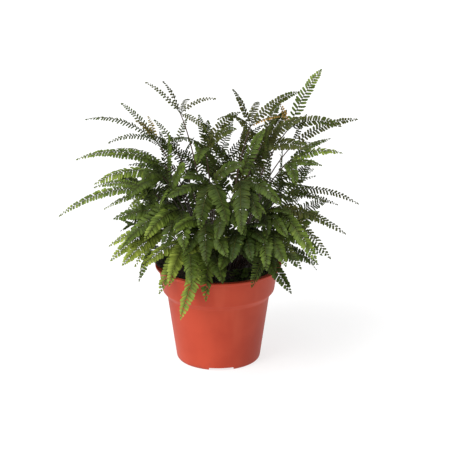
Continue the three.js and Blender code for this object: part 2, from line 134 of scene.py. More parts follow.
class Shader:
    """The nodes of one material."""

    def __init__(self, name: str) -> None:
        """Starts an empty material.

        Args:
            name: The material's name.
        """
        self.material = bpy.data.materials.new(name)
        self.material.use_nodes = True
        self.tree = self.material.node_tree
        self.tree.nodes.clear()

    def add(self, kind: str, settings: dict | None = None, inputs: dict | None = None) -> Node:
        """Adds a node, with its settings made before its sockets are filled.

        Args:
            kind: The node's type.
            settings: Values of the node's own properties, where "stops" are a ramp's (place, colour) pairs.
            inputs: Values, sockets or signals by the name or number of the input.

        Returns:
            The node.
        """
        node = self.tree.nodes.new(kind)
        for name, value in (settings or {}).items():
            if name == "stops":
                self._set_stops(node.color_ramp.elements, value)
            else:
                setattr(node, name, value)
        for name, value in (inputs or {}).items():
            source = value.socket if isinstance(value, Signal) else value
            if isinstance(source, NodeSocket):
                self.tree.links.new(source, node.inputs[name])
            else:
                node.inputs[name].default_value = source
        return node

    @staticmethod
    def _set_stops(elements: bpy.types.ColorRampElements, stops: list[tuple[float, Colour]]) -> None:
        """Gives a ramp its stops.

        Args:
            elements: The ramp's elements.
            stops: The place and the colour of each stop, in rising order.
        """
        while len(elements) < len(stops):
            elements.new(1.0)
        for element, (position, colour) in zip(elements, stops):
            element.position = position
            element.color = colour

    def math(self, operation: str, first: Signal | float, second: Signal | float = 0.0,
             clamp: bool = False) -> Signal:
        """One step of arithmetic on one or two values."""
        node = self.add("ShaderNodeMath", {"operation": operation, "use_clamp": clamp}, {0: first, 1: second})
        return Signal(self, node.outputs[0])

    def leaf_place(self) -> tuple[Signal, Signal, Signal]:
        """The place on a leaflet or a rib, along it and across it, by its leaf map."""
        return self.parts(self.add("ShaderNodeUVMap", {"uv_map": LEAF_MAP}).outputs[0])

    def position(self) -> NodeSocket:
        """The place on the piece, in metres."""
        return self.add("ShaderNodeTexCoord").outputs["Object"]

    def stretched(self, vector: NodeSocket, by: Triple) -> NodeSocket:
        """A vector multiplied axis by axis."""
        return self.add("ShaderNodeVectorMath", {"operation": "MULTIPLY"}, {0: vector, 1: by}).outputs[0]

    def parts(self, vector: NodeSocket) -> tuple[Signal, Signal, Signal]:
        """The three values of a vector or a colour."""
        node = self.add("ShaderNodeSeparateXYZ", None, {0: vector})
        return tuple(Signal(self, output) for output in node.outputs)

    def noise(self, vector: NodeSocket, scale: float, detail: float = 2.0,
              roughness: float = 0.5) -> Signal:
        """Cloudy noise from 0 to 1, with scale waves to the metre."""
        node = self.add("ShaderNodeTexNoise", None,
                        {"Vector": vector, "Scale": scale, "Detail": detail, "Roughness": roughness})
        return Signal(self, node.outputs[0])

    def cells(self, vector: NodeSocket, scale: float) -> Signal:
        """The distance to the nearest of many scattered points."""
        node = self.add("ShaderNodeTexVoronoi", None, {"Vector": vector, "Scale": scale})
        return Signal(self, node.outputs["Distance"])

    def mix(self, factor: Signal | float, first: Colour | NodeSocket,
            second: Colour | NodeSocket, blend: str = "MIX") -> NodeSocket:
        """A mix of two colours."""
        node = self.add("ShaderNodeMix", {"data_type": "RGBA", "blend_type": blend, "clamp_factor": True},
                        {0: factor, 6: first, 7: second})
        return node.outputs[2]

    def ramp(self, value: Signal, *stops: tuple[float, Colour]) -> NodeSocket:
        """The colour of a value on a ramp of (place, colour) stops."""
        return self.add("ShaderNodeValToRGB", {"stops": list(stops)}, {0: value}).outputs[0]

    def bump(self, height: Signal, strength: float, depth: float) -> NodeSocket:
        """A surface normal raised by a height from 0 to 1, where depth is the real height of 1 in metres."""
        node = self.add("ShaderNodeBump", None, {"Strength": strength, "Distance": depth, "Height": height})
        return node.outputs[0]

    def surface(self, **inputs: Signal | float | NodeSocket | Colour) -> Material:
        """Ends the material in one Principled surface.

        Args:
            inputs: Its inputs by name, with _ for a space.

        Returns:
            The finished material.
        """
        named = {name.replace("_", " "): value for name, value in inputs.items()}
        principled = self.add("ShaderNodeBsdfPrincipled", None, named)
        self.add("ShaderNodeOutputMaterial", None, {"Surface": principled.outputs[0]})
        return self.material


# ---- finishes


@dataclass(frozen=True)
class MouldedPlastic:
    """Terracotta-coloured moulded plastic: satin, faintly clouded, dusty at its rim and foot."""

    body: Colour = srgb(180, 66, 41)
    shade: Colour = srgb(168, 57, 34)
    pale: Colour = srgb(192, 89, 62)
    dust: Colour = srgb(92, 66, 52)
    splashed: Pair = (82 * MM, 94 * MM)  # heights between which splashes of soil set in
    dusty: float = 6 * MM  # the height that the dust at the foot reaches
    roughness: float = 0.48
    sheen: float = 0.22
    relief: float = 0.05 * MM

    def material(self) -> Material:
        """Builds the finish.

        Returns:
            The material.
        """
        shader = Shader("terracotta_plastic")
        place = shader.position()
        _, _, height = shader.parts(place)
        clouds = shader.noise(place, 22, 3)
        streaks = shader.noise(shader.stretched(place, (60, 60, 6)), 1, 2)
        grain = shader.noise(place, 1400, 1)
        specks = shader.noise(place, 210, 4, 0.65).rising(0.63, 0.74)
        colour = shader.mix(clouds.rising(0.35, 0.7), self.body, self.shade)
        colour = shader.mix(streaks.rising(0.55, 0.8) * 0.25, colour, self.pale)
        colour = shader.mix(specks * 0.12, colour, self.dust)
        splash = height.rising(*self.splashed) * shader.noise(place, 75, 4, 0.6).rising(0.5, 0.7)
        foot = (1 - height.rising(0, self.dusty)) * shader.noise(place, 120, 3).rising(0.35, 0.65)
        colour = shader.mix(splash * 0.22 + foot * 0.3, colour, self.dust)
        roughness = self.roughness + clouds * 0.08 + splash * 0.2
        height_map = grain * 0.6 + shader.noise(shader.stretched(place, (20, 20, 900)), 1, 1) * 0.4
        return shader.surface(Base_Color=colour, Roughness=roughness, Specular_IOR_Level=self.sheen,
                              Normal=shader.bump(height_map, 0.25, self.relief))


@dataclass(frozen=True)
class PottingSoil:
    """Dark moist peat with paler crumbs and fibres."""

    wet: Colour = srgb(20, 15, 12)
    dry: Colour = srgb(58, 44, 34)
    fibre: Colour = srgb(96, 74, 52)
    relief: float = 0.8 * MM

    def material(self) -> Material:
        """Builds the finish.

        Returns:
            The material.
        """
        shader = Shader("peat_soil")
        place = shader.position()
        crumbs = shader.cells(place, 420)
        damp = shader.noise(place, 45, 3)
        threads = shader.noise(shader.stretched(place, (1, 0.16, 1)), 900, 3).rising(0.62, 0.72)
        colour = shader.mix(crumbs * 0.5 + damp.rising(0.4, 0.75) * 0.6, self.wet, self.dry)
        colour = shader.mix(threads * 0.6, colour, self.fibre)
        height = crumbs * 0.6 + shader.noise(place, 700, 4, 0.7) * 0.6
        return shader.surface(Base_Color=colour, Roughness=0.96 - damp * 0.25,
                              Normal=shader.bump(height, 0.8, self.relief))


@dataclass(frozen=True)
class Moss:
    """Low dark green moss."""

    deep: Colour = srgb(18, 30, 14)
    fresh: Colour = srgb(62, 84, 30)
    relief: float = 0.3 * MM

    def material(self) -> Material:
        """Builds the finish.

        Returns:
            The material.
        """
        shader = Shader("moss")
        place = shader.position()
        patches = shader.noise(place, 160, 3)
        colour = shader.mix(patches.rising(0.35, 0.7), self.deep, self.fresh)
        return shader.surface(Base_Color=colour, Roughness=0.8 + patches * 0.15,
                              Normal=shader.bump(shader.noise(place, 1500, 2), 0.5, self.relief))


@dataclass(frozen=True)
class DarkStem:
    """Polished wiry stem, nearly black below and red-brown towards the forks."""

    low: Colour = srgb(26, 14, 12)
    high: Colour = srgb(74, 46, 30)
    change: Pair = (95 * MM, 250 * MM)  # heights between which its colour changes
    relief: float = 0.1 * MM

    def material(self) -> Material:
        """Builds the finish.

        Returns:
            The material.
        """
        shader = Shader("dark_stem")
        place = shader.position()
        _, _, height = shader.parts(place)
        mottle = shader.noise(place, 260, 3)
        rise = height.rising(*self.change)
        colour = shader.mix(rise * 0.8 + mottle * 0.3, self.low, self.high)
        ridges = shader.noise(shader.stretched(place, (1, 1, 0.08)), 2600, 2)
        return shader.surface(Base_Color=colour, Roughness=0.3 + mottle * 0.2,
                              Normal=shader.bump(ridges, 0.3, self.relief))


@dataclass(frozen=True)
class FrondRib:
    """A frond's rib: dark and shiny at the fork, green-brown at the tip."""

    fork: Colour = srgb(30, 17, 13)
    tip: Colour = srgb(84, 78, 36)
    relief: float = 0.05 * MM

    def material(self) -> Material:
        """Builds the finish.

        Returns:
            The material.
        """
        shader = Shader("frond_rib")
        along, _, _ = shader.leaf_place()
        mottle = shader.noise(shader.position(), 500, 2)
        colour = shader.mix(along.rising(0.35, 1.0) * 0.8 + mottle * 0.2, self.fork, self.tip)
        return shader.surface(Base_Color=colour, Roughness=0.34 + mottle * 0.2,
                              Normal=shader.bump(mottle, 0.2, self.relief))


@dataclass(frozen=True)
class LeafBlade:
    """Soft satin leaf: olive when old, yellow when fresh, bronze when young, blue-green with painted shade.
    """

    olive: Colour = srgb(74, 72, 28)
    deep: Colour = srgb(55, 70, 21)
    middle: Colour = srgb(86, 105, 34)
    fresh: Colour = srgb(150, 164, 66)
    painted_shade_tint: Colour = srgb(28, 56, 22)
    bronze: Colour = srgb(146, 112, 48)
    rose: Colour = srgb(158, 92, 62)
    vein: Colour = srgb(140, 158, 70)
    margin: Colour = srgb(66, 58, 30)
    painted_foot_shade: Colour = srgb(26, 34, 12)  # painted shade at the crowded foot of a leaflet
    roughness: float = 0.5
    sheen: float = 0.16
    relief: float = 0.12 * MM
    fan: float = 46.0  # how close the veins stand
    midrib: float = 0.36  # where the midrib runs across the leaflet

    def material(self) -> Material:
        """Builds the finish.

        Returns:
            The material.
        """
        shader = Shader("leaf_blade")
        place = shader.position()
        along, across, _ = shader.leaf_place()
        tone = shader.add("ShaderNodeAttribute", {"attribute_name": TONE})
        freshness, youth, chance = shader.parts(tone.outputs["Color"])
        coolness = Signal(shader, tone.outputs["Alpha"])
        mottle = shader.noise(place, 60, 3)
        age = (freshness + (chance - 0.5) * 0.34 + (mottle - 0.5) * 0.3).clamped()
        ages = [(0.0, self.olive), (0.33, self.deep), (0.62, self.middle), (1.0, self.fresh)]
        colour = shader.ramp(age, *ages)
        # Painted shade: coolness turns a leaflet towards a dark blue-green.
        colour = shader.mix(coolness, colour, self.painted_shade_tint)
        colour = shader.mix(youth.rising(0.05, 0.6), colour, self.bronze)
        colour = shader.mix(youth.rising(0.55, 1.0), colour, self.rose)
        # Veins fan out from the foot of a leaflet and meet its rounded edge.
        spread = (across - 0.5) / (along + 0.18)
        veins = ((spread * self.fan).sine() * 0.5 + 0.5) ** 3.0
        midrib = 1 - abs(across - self.midrib).rising(0.0, 0.05)
        lines = (veins * 0.5 + midrib * 0.7).clamped()
        colour = shader.mix(lines * 0.16, colour, self.vein)
        rim = (abs(across - 0.5) * 2).rising(0.86, 1.0) + along.rising(0.93, 1.0)
        colour = shader.mix(rim.clamped() * 0.22, colour, self.margin)
        # Painted shade: darker towards a leaflet's foot at the rib and along its lower edge, where the
        # leaflets crowd.
        foot = (1 - along.rising(0.0, 0.75)) * 0.55 + (1 - across.rising(0.0, 0.4)) * 0.25
        colour = shader.mix(foot.clamped(), colour, self.painted_foot_shade)
        roughness = self.roughness + mottle * 0.12 - lines * 0.06
        height = lines * 0.6 + shader.noise(place, 2400, 2) * 0.5
        return shader.surface(Base_Color=colour, Roughness=roughness, Specular_IOR_Level=self.sheen,
                              Normal=shader.bump(height, 0.35, self.relief))


@dataclass(frozen=True)
class PaleFloor:
    """A plain white studio table that is lit from below, so that shadows on it stay faint."""

    light: Colour = srgb(150, 150, 150)
    soft: Colour = srgb(144, 144, 144)
    glow: Colour = (0.76, 0.76, 0.76, 1.0)

    def material(self) -> Material:
        """Builds the finish.

        Returns:
            The material.
        """
        shader = Shader("pale_floor")
        clouds = shader.noise(shader.position(), 3, 2)
        return shader.surface(Base_Color=shader.mix(clouds, self.light, self.soft), Roughness=0.9,
                              Emission_Color=self.glow, Emission_Strength=1.0)


# ---- mesh tools


def linked(name: str, data: bpy.types.ID) -> Object:
    """A new object of the scene with the given data."""
    new = bpy.data.objects.new(name, data)
    bpy.context.scene.collection.objects.link(new)
    return new


def named_piece(name: str, mesh: Mesh, materials: list[Material], sharp: float) -> Object:
    """Makes a mesh a smooth piece of the object.

    Args:
        name: The piece's name.
        mesh: The mesh, in place.
        materials: Its materials, in the order of its faces' numbers.
        sharp: Edges that bend by more than this many degrees stay sharp.

    Returns:
        The piece, which rides on the root body.
    """
    mesh.name = name
    mesh.materials.clear()
    for material in materials:
        mesh.materials.append(material)
    mesh.shade_smooth()
    mesh.set_sharp_from_angle(angle=math.radians(sharp))
    piece = linked(name, mesh)
    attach(piece, "root")
    LOG.info("%s: %d faces", name, len(mesh.polygons))
    return piece


def mesh_of(bm: BMesh, name: str) -> Mesh:
    """Ends a bmesh in a mesh of its own.

    Args:
        bm: The bmesh, which is freed.
        name: The mesh's name.

    Returns:
        The mesh.
    """
    mesh = bpy.data.meshes.new(name)
    bm.to_mesh(mesh)
    bm.free()
    return mesh


def turned(outline: list[Pair], steps: int) -> BMesh:
    """A closed solid turned round the Z axis.

    Args:
        outline: Its (radius, height) points, from the axis to the axis.
        steps: The number of steps of a full turn.

    Returns:
        The solid.
    """
    bm = bmesh.new()
    corners = [bm.verts.new((radius, 0, height)) for radius, height in outline]
    edges = [bm.edges.new(pair) for pair in zip(corners, corners[1:])]
    bmesh.ops.spin(bm, geom=corners + edges, cent=(0, 0, 0), axis=(0, 0, 1), angle=math.tau, steps=steps,
                   use_merge=True, use_duplicate=False)
    bmesh.ops.remove_doubles(bm, verts=bm.verts, dist=0.001 * MM)
    bmesh.ops.recalc_face_normals(bm, faces=bm.faces)
    return bm


def rounded(corners: list[Triple], steps: int = 5) -> list[Pair]:
    """A profile whose corners are rounded.

    Args:
        corners: (radius, height, rounding) of each corner, where 0 keeps it sharp.
        steps: The number of edges in each rounded corner.

    Returns:
        The profile's points.
    """
    points = [Vector(corner[:2]) for corner in corners]
    outline = []
    for i, (_, _, rounding) in enumerate(corners):
        if rounding == 0:
            outline.append(tuple(points[i]))
            continue
        before, after = points[i - 1] - points[i], points[i + 1] - points[i]
        start = points[i] + before.normalized() * min(rounding, before.length * 0.45)
        end = points[i] + after.normalized() * min(rounding, after.length * 0.45)
        for step in range(steps + 1):
            share = step / steps
            outline.append(tuple(start.lerp(points[i], share).lerp(points[i].lerp(end, share), share)))
    return outline


class Gathering:
    """A mesh gathered from many bent copies of a few small meshes."""

    def __init__(self) -> None:
        """Starts with nothing gathered."""
        self.bm = bmesh.new()
        self.bm.verts.layers.float_color.new(TONE)
        self.count = 0
        self.placed: list[tuple[int, int, Place, Colour]] = []

    def add(self, shape: Mesh, place: Place, tone: Colour = NO_TONE) -> None:
        """Adds a copy of a mesh.

        Args:
            shape: The mesh that is copied.
            place: Gives the place in metres of each of its points.
            tone: The copy's tone attribute.
        """
        self.bm.from_mesh(shape)
        size = len(shape.vertices)
        self.placed.append((self.count, self.count + size, place, tone))
        self.count += size

    def add_turned(self, shape: Mesh, turn: Matrix, foot: Vector, tone: Colour = NO_TONE) -> None:
        """Adds a copy of a mesh, turned and scaled round its origin, which goes to the foot."""
        self.add(shape, lambda point: turn @ point + foot, tone)

    def mesh(self, name: str) -> Mesh:
        """Puts every copy in its place.

        Args:
            name: The mesh's name.

        Returns:
            The mesh of all of them.
        """
        self.bm.verts.ensure_lookup_table()
        layer = self.bm.verts.layers.float_color[TONE]
        for start, end, place, tone in self.placed:
            for vertex in self.bm.verts[start:end]:
                vertex.co = place(vertex.co)
                vertex[layer] = tone
        return mesh_of(self.bm, name)


def set_map(bm: BMesh, place: Callable[[Vector], Pair]) -> None:
    """Gives a bmesh its leaf map.

    Args:
        bm: The bmesh.
        place: Gives the map's two values from the place of a corner.
    """
    layer = bm.loops.layers.uv.new(LEAF_MAP)
    for face in bm.faces:
        for loop in face.loops:
            loop[layer].uv = place(loop.vert.co)


def unit_rod(sides: int, steps: int, material: int = 0) -> Mesh:
    """A closed rod of radius 1 from z = 0 to z = 1, to be bent along a curve.

    Args:
        sides: The number of its sides.
        steps: The number of its steps along Z.
        material: The number of its material.

    Returns:
        The mesh.
    """
    bm = bmesh.new()
    bmesh.ops.create_cone(bm, cap_ends=True, cap_tris=False, segments=sides, radius1=1, radius2=1, depth=1,
                          matrix=Matrix.Translation((0, 0, 0.5)))
    long_edges = [edge for edge in bm.edges if abs(edge.verts[0].co.z - edge.verts[1].co.z) > 0.5]
    bmesh.ops.subdivide_edges(bm, edges=long_edges, cuts=steps - 1)
    for face in bm.faces:
        face.material_index = material
    set_map(bm, lambda point: (point.z, 0.5 + 0.5 * point.x))
    return mesh_of(bm, "unit_rod")


def along_curve(curve: Curve, radius_at: Callable[[float], float]) -> Place:
    """Bends a unit rod along a curve.

    Args:
        curve: The curve.
        radius_at: Gives the rod's radius at a share of the length.

    Returns:
        The place of each point of the rod.
    """

    def place(point: Vector) -> Vector:
        """Finds where a point of the unit rod goes.

        Args:
            point: The point.

        Returns:
            Its place along the curve.
        """
        along = curve.tangent(point.z)
        side = along.cross(curve.REFERENCE).normalized()
        radius = radius_at(point.z)
        return curve.point(point.z) + side * (point.x * radius) + along.cross(side) * (point.y * radius)

    return place


def spot_in(chance: random.Random, radius: float, middle: Pair = (0, 0)) -> Pair:
    """A place drawn evenly from a disc."""
    angle, away = chance.uniform(0, math.tau), radius * math.sqrt(chance.random())
    return middle[0] + away * math.cos(angle), middle[1] + away * math.sin(angle)


def turn_between(chance: random.Random, least: float, most: float, axis: str | Vector) -> Matrix:
    """A turn round an axis by an angle that is drawn between two, in radians."""
    return Matrix.Rotation(chance.uniform(least, most), 3, axis)


def rough_at(place: Vector, *layers: Pair) -> float:
    """The sum of layers of noise at a place, each given by its height and its number of waves."""
    return sum(height * noise.noise(place * waves) for height, waves in layers)


def tapering(foot: float, end: float) -> Callable[[float], float]:
    """The radius, at a share of its length, of a hair that narrows evenly."""
    return lambda share: foot + (end - foot) * share


# ---- growth, as in the solids


class Draw:
    """Draws from 0 to 1, the same ones each time for one seed, as the solids were drawn."""

    FACTOR, STEP, RANGE = 1664525, 1013904223, 2**32
    WARM_UP = 3

    def __init__(self, seed: int) -> None:
        """Starts from a seed and warms up.

        Args:
            seed: The seed.
        """
        self.state = seed
        for _ in range(self.WARM_UP):
            self()

    def __call__(self) -> float:
        """The next draw."""
        self.state = (self.state * self.FACTOR + self.STEP) % self.RANGE
        return self.state / self.RANGE

    def stray(self, reach: float) -> float:
        """The next draw, from -reach to reach."""
        return (2 * self() - 1) * reach


@dataclass
class Curve:
    """A quadratic curve."""

    REFERENCE = Vector((0.31, 0.89, 0.33))  # a direction that no curve of the plant runs along

    start: Vector
    control: Vector
    end: Vector

    def point(self, share: float) -> Vector:
        """The point at a share of the curve."""
        return self.start.lerp(self.control, share).lerp(self.control.lerp(self.end, share), share)

    def tangent(self, share: float) -> Vector:
        """The direction at a share of the curve."""
        return (self.control - self.start).lerp(self.end - self.control, share).normalized()


@dataclass
class Finger:
    """One finger of a frond: the curve of its rib, and the way that its leaflets spread."""

    RIB, THICKNESS = 0.65 * MM, 0.8 * MM
    WIDTH_SHARE, LEAST_WIDTH, MOST_WIDTH = 0.125, 5 * MM, 8.4 * MM
    FORK_WIDTH, FULL_FROM = 0.62, 0.3  # its width at the fork, and the share of the length where it is full
    TAPER, BLUNTNESS = 2.8, 0.75  # how late and how bluntly it narrows to the tip

    fork: Vector
    tip: Vector
    face: Vector
    arch: float
    roll: float
    wide: float

    def __post_init__(self) -> None:
        """Works out the curve and the widest half width."""
        self.length = (self.tip - self.fork).length
        middle = self.fork.lerp(self.tip, 0.5) + UP * (2 * self.arch * self.length)
        self.curve = Curve(self.fork, middle, self.tip)
        usual = min(self.MOST_WIDTH, max(self.LEAST_WIDTH, self.WIDTH_SHARE * self.length))
        self.half_width = self.wide * usual

    def half_width_at(self, share: float) -> float:
        """The reach of the leaflets at a share of the length: it swells soon and narrows to the tip."""
        swell = self.FORK_WIDTH + (1 - self.FORK_WIDTH) * min(1.0, share / self.FULL_FROM)
        return self.half_width * swell * (1 - min(share, 1.0) ** self.TAPER) ** self.BLUNTNESS

    def directions(self, share: float) -> tuple[Vector, Vector, Vector]:
        """The way that the blade lies.

        Args:
            share: The share of the length where it is asked for.

        Returns:
            The directions along the rib, across the blade and out of its face.
        """
        along = self.curve.tangent(share)
        level = self.face.cross(along).normalized()
        across = level * math.cos(self.roll) + along.cross(level) * math.sin(self.roll)
        return along, across, along.cross(across)

    def end_corners(self) -> Iterator[Vector]:
        """Works out the end of the solid blade.

        Yields:
            Its four corners.
        """
        _, across, out = self.directions(1)
        for side, face in itertools.product((-1, 1), (-0.5, 0.5)):
            yield self.tip + across * (side * self.RIB) + out * (face * self.THICKNESS)


@dataclass
class FrondPlan:
    """Where a frond is meant to grow, before its fingers are bent clear of the others."""

    fork: Vector
    tips: list[Vector]
    face: Vector
    wide: float


class Solid:
    """The corners of a node of the frame, for finding what was built where."""

    def __init__(self, node: str) -> None:
        """Sorts the node's corners by place.

        Args:
            node: The node's name.
        """
        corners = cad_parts[node].data.vertices
        self.tree = KDTree(len(corners))
        for number, corner in enumerate(corners):
            self.tree.insert(corner.co, number)
        self.tree.balance()

    def distance(self, point: Vector) -> float:
        """The distance to the nearest corner."""
        return self.tree.find(point)[2]

    def ring_error(self, centre: Vector, radius: float, look: float = 2 * MM) -> float:
        """How far the three corners that lie best on a ring round a point are from that ring."""
        errors = sorted(abs(distance - radius) for _, _, distance in self.tree.find_range(centre, look))
        return sum(errors[:3]) if len(errors) > 2 else math.inf


@dataclass(frozen=True)
class Growth:
    """The rule by which the solid fronds and stems were grown, in millimetres as there."""

    seed: int = 20265
    frond_seeds: int = 1000
    finger_seeds: int = 10
    attempts: int = 70
    sway: float = 0.45
    roll: float = 0.45
    turn: float = 0.02
    arch: float = 0.1
    stray_arch: float = 0.045
    match: float = 0.05 * MM  # how near a corner of the frame has to be

    def finger(self, owner: int, place: int, plan: FrondPlan, solid: Solid) -> Finger | None:
        """Finds the finger that the frame holds.

        Args:
            owner: The frond's number, from 0.
            place: The finger's number, from 0.
            plan: The frond's plan.
            solid: The frond in the frame.

        Returns:
            The finger as it was bent, or None if the frame's frond has none at this place.
        """
        draw = Draw(self.seed + self.frond_seeds * owner + self.finger_seeds * place)
        for attempt in range(self.attempts):
            shift = Vector([draw.stray(self.sway * attempt) for _ in range(3)]) * MM
            arch = self.arch + draw.stray(self.stray_arch)
            roll = draw.stray(self.roll)
            finger = Finger(plan.fork, plan.tips[place] + shift, plan.face, arch, roll, plan.wide)
            if all(solid.distance(corner) < self.match for corner in finger.end_corners()):
                return finger
        return None

    def stem(self, owner: int, fork: Vector, solid: Solid) -> Curve:
        """Finds the curve of a stem that the frame holds, as the one whose end fits best.

        Args:
            owner: The frond's number, from 0.
            fork: The frond's fork.
            solid: The rhizome and the stems in the frame.

        Returns:
            The stem's curve, up to the fork.
        """
        draw = Draw(self.seed + owner)
        turns = [draw.stray(self.turn * attempt) for attempt in range(self.attempts)]
        curves = [Rhizome.stem_curve(fork, turn) for turn in turns]
        return min(curves, key=lambda curve: solid.ring_error(curve.end, Rhizome.STEM_RADIUS))


@dataclass(frozen=True)
class Dome:
    """The dome that the foliage fills, which is drawn in at its waist."""

    middle: float = 100 * MM
    level: float = 118 * MM
    rise: float = 142 * MM
    waist: float = 0.82
    shoulder: float = 25  # the angle in degrees from which on it is at its full size

    def point(self, azimuth: float, lean: float, share: float) -> Vector:
        """Finds a place inside the dome.

        Args:
            azimuth: The angle round the pot's axis, in degrees.
            lean: The angle above the level of the dome's middle, in degrees.
            share: The share of the way to the dome.

        Returns:
            The place.
        """
        high = min(1.0, max(0.0, lean / self.shoulder))
        reach = share * (self.waist + (1 - self.waist) * high)
        flat = reach * self.level * math.cos(math.radians(lean))
        height = self.middle + reach * self.rise * math.sin(math.radians(lean))
        turn = math.radians(azimuth)
        return Vector((flat * math.cos(turn), flat * math.sin(turn), height))


@dataclass(frozen=True)
class FrondRing:
    """A ring of fronds whose stems lean alike, each with an even fan that ends on the dome."""

    count: int
    first: float
    step: float
    lean: float
    fingers: int
    wide: float
    dome: Dome = Dome()
    fork_share: float = 0.58
    spread: float = 38
    stray_turn: float = 9
    stray_lean: float = 5
    stray_length: float = 0.12
    fan_start: float = -35
    fan_sweep: float = 250
    fan_stray: float = 10
    least_level: float = 0.35
    squash: float = 0.62
    outward: float = 0.75
    upward: float = 0.65

    def plans(self, draw: Draw) -> Iterator[FrondPlan]:
        """Plans the fronds of the ring.

        Args:
            draw: The draws that the solids were planned by.

        Yields:
            The plan of each frond.
        """
        for place in range(self.count):
            azimuth = self.first + place * self.step + draw.stray(self.stray_turn)
            lean = self.lean + draw.stray(self.stray_lean)
            fork = self.dome.point(azimuth, lean, self.fork_share)
            tips = []
            for finger in range(self.fingers):
                even = self.fan_start + self.fan_sweep * finger / (self.fingers - 1)
                angle = math.radians(even + draw.stray(self.fan_stray))
                level = max(self.least_level, math.cos(math.radians(lean)))
                sideways = self.spread * math.cos(angle) / level
                upwards = self.squash * self.spread * math.sin(angle)
                share = 1 - self.stray_length * draw()
                tips.append(self.dome.point(azimuth + sideways, lean + upwards, share))
            face = Vector((fork.x, fork.y, 0)).normalized() * self.outward + UP * self.upward
            yield FrondPlan(fork, tips, face.normalized(), self.wide)


# The front fronds as the front view shows them: the fork in millimetres, how wide the fingers are against the
# usual width, and the tips of the fingers.
FRONT_FRONDS = [
    ((-35, 10, 237), 0.55, [(-67, 25, 263), (-50, 2, 269), (-3, 6, 252), (-6, -20, 224), (-28, 60, 238)]),
    ((30, 6, 226), 0.6, [(14, 0, 262), (75, 20, 255), (0, -22, 240), (62, -12, 240), (38, 60, 236)]),
    ((66, 20, 220), 0.75, [(95, 15, 277), (112, -10, 230), (58, 34, 240)]),
    ((70, 14, 206), 0.55, [(130, 27, 227), (96, 34, 198), (84, 50, 226)]),
    ((64, -6, 194), 0.85, [(104, 10, 213), (113, -18, 207), (93, -42, 202), (70, -62, 190)]),
    ((62, 8, 160), 0.65, [(92, 26, 172), (131, 2, 152), (114, 34, 141), (98, -16, 160)]),
    ((54, -28, 156), 0.9, [(116, -45, 138), (101, -64, 121), (88, -86, 125), (104, -22, 138)]),
    ((40, -38, 138), 1, [(60, -100, 126), (96, -30, 112), (74, -84, 118), (44, -104, 122)]),
    ((22, -26, 128), 1, [(69, -56, 95), (34, -88, 132), (2, -92, 120)]),
    ((-8, -30, 122), 1.15, [(-34, -79, 68), (-11, -82, 87), (4, -104, 112), (-26, -88, 134), (20, -80, 140)]),
    ((-27, -33, 126), 1.1, [(-54, -56, 84), (-44, -84, 102), (-24, -100, 108), (-70, -58, 110)]),
    ((-50, -18, 132), 0.9, [(-98, -50, 114), (-86, -74, 118), (-78, -18, 97), (-103, 0, 111)]),
    ((-34, -42, 160), 1.15,
     [(-65, -86, 146), (-94, -56, 156), (-30, -100, 142), (-82, -74, 140), (-48, -88, 138)]),
    ((-62, -4, 166), 0.65, [(-148, -10, 144), (-108, 18, 142), (-116, 10, 166), (-85, -24, 152)]),
    ((-50, 6, 188), 0.65, [(-132, 6, 194), (-104, -24, 206), (-97, 44, 194)]),
    ((-52, -14, 184), 1, [(-112, -36, 183), (-84, -62, 176), (-66, -70, 196)]),
    ((-58, 12, 210), 0.65,
     [(-123, 12, 231), (-90, 24, 243), (-75, -10, 235), (-101, 0, 212), (-66, 34, 228)]),
    ((20, -24, 182), 1.1, [(42, -22, 230), (37, -84, 164), (20, -100, 156), (56, -66, 172)]),
    ((-6, -38, 184), 1.15,
     [(-16, -92, 158), (8, -96, 164), (-34, -74, 200), (22, -62, 208), (-48, -66, 178)]),
    ((-12, 6, 204), 0.85, [(-22, -10, 240), (16, -22, 230), (-42, -28, 222), (20, 26, 234), (-18, -54, 208)]),
    ((-12, -50, 150), 1.15, [(-30, -96, 136), (-10, -100, 127), (7, -98, 133), (-40, -90, 154)]),
    ((20, -44, 144), 1.1, [(11, -96, 126), (30, -92, 129), (47, -84, 134), (41, -84, 158)]),
    ((7, -42, 166), 1.15, [(24, -90, 152), (-2, -92, 147), (41, -76, 169), (-17, -84, 168)]),
    ((41, -30, 154), 1, [(62, -72, 144), (41, -82, 141), (67, -58, 161), (54, -50, 179)]),
    ((12, -14, 118), 1.1, [(46, -34, 130), (34, -52, 112), (-14, -46, 126), (2, -34, 154)]),
    ((40, 16, 204), 0.9, [(58, 34, 240), (80, 8, 234), (52, -12, 236), (84, -20, 212), (16, 24, 230)]),
    ((-40, 20, 200), 0.8, [(-60, 36, 224), (-30, 30, 226), (-72, 4, 216), (-44, -16, 222)]),
    ((-16, 34, 116), 1.25, [(-62, 40, 120), (-52, 48, 142), (-26, 58, 152), (4, 58, 144)]),
    ((24, 34, 120), 1.25, [(66, 36, 126), (54, 46, 146), (30, 54, 158), (-2, 60, 126)]),
]
FRONT_FACE = (0, -0.6, 0.8)  # the way that the upper side of the front fronds looks
VIEWER_FACE = (-0.4, -1, 0.4)
VIEWER_FRONDS = (3, 25)  # the ones that look more towards the viewer, counted from 1
RINGS = [
    FrondRing(count=1, first=90, step=0, lean=68, fingers=4, wide=0.8),
    FrondRing(count=6, first=-20, step=44, lean=46, fingers=5, wide=0.95),
    FrondRing(count=5, first=-28, step=54, lean=25, fingers=4, wide=1.05),
    FrondRing(count=4, first=-36, step=70, lean=8, fingers=4, wide=1.15),
]


def frond_plans() -> list[FrondPlan]:
    """Plans every frond, in the order of their nodes.

    Returns:
        The plans.
    """
    plans = []
    for number, (fork, wide, tips) in enumerate(FRONT_FRONDS, start=1):
        face = Vector(VIEWER_FACE if number in VIEWER_FRONDS else FRONT_FACE).normalized()
        plans.append(FrondPlan(Vector(fork) * MM, [Vector(tip) * MM for tip in tips], face, wide))
    draw = Draw(Growth.seed)
    for ring in RINGS:
        plans.extend(ring.plans(draw))
    return plans


# ---- leaflets


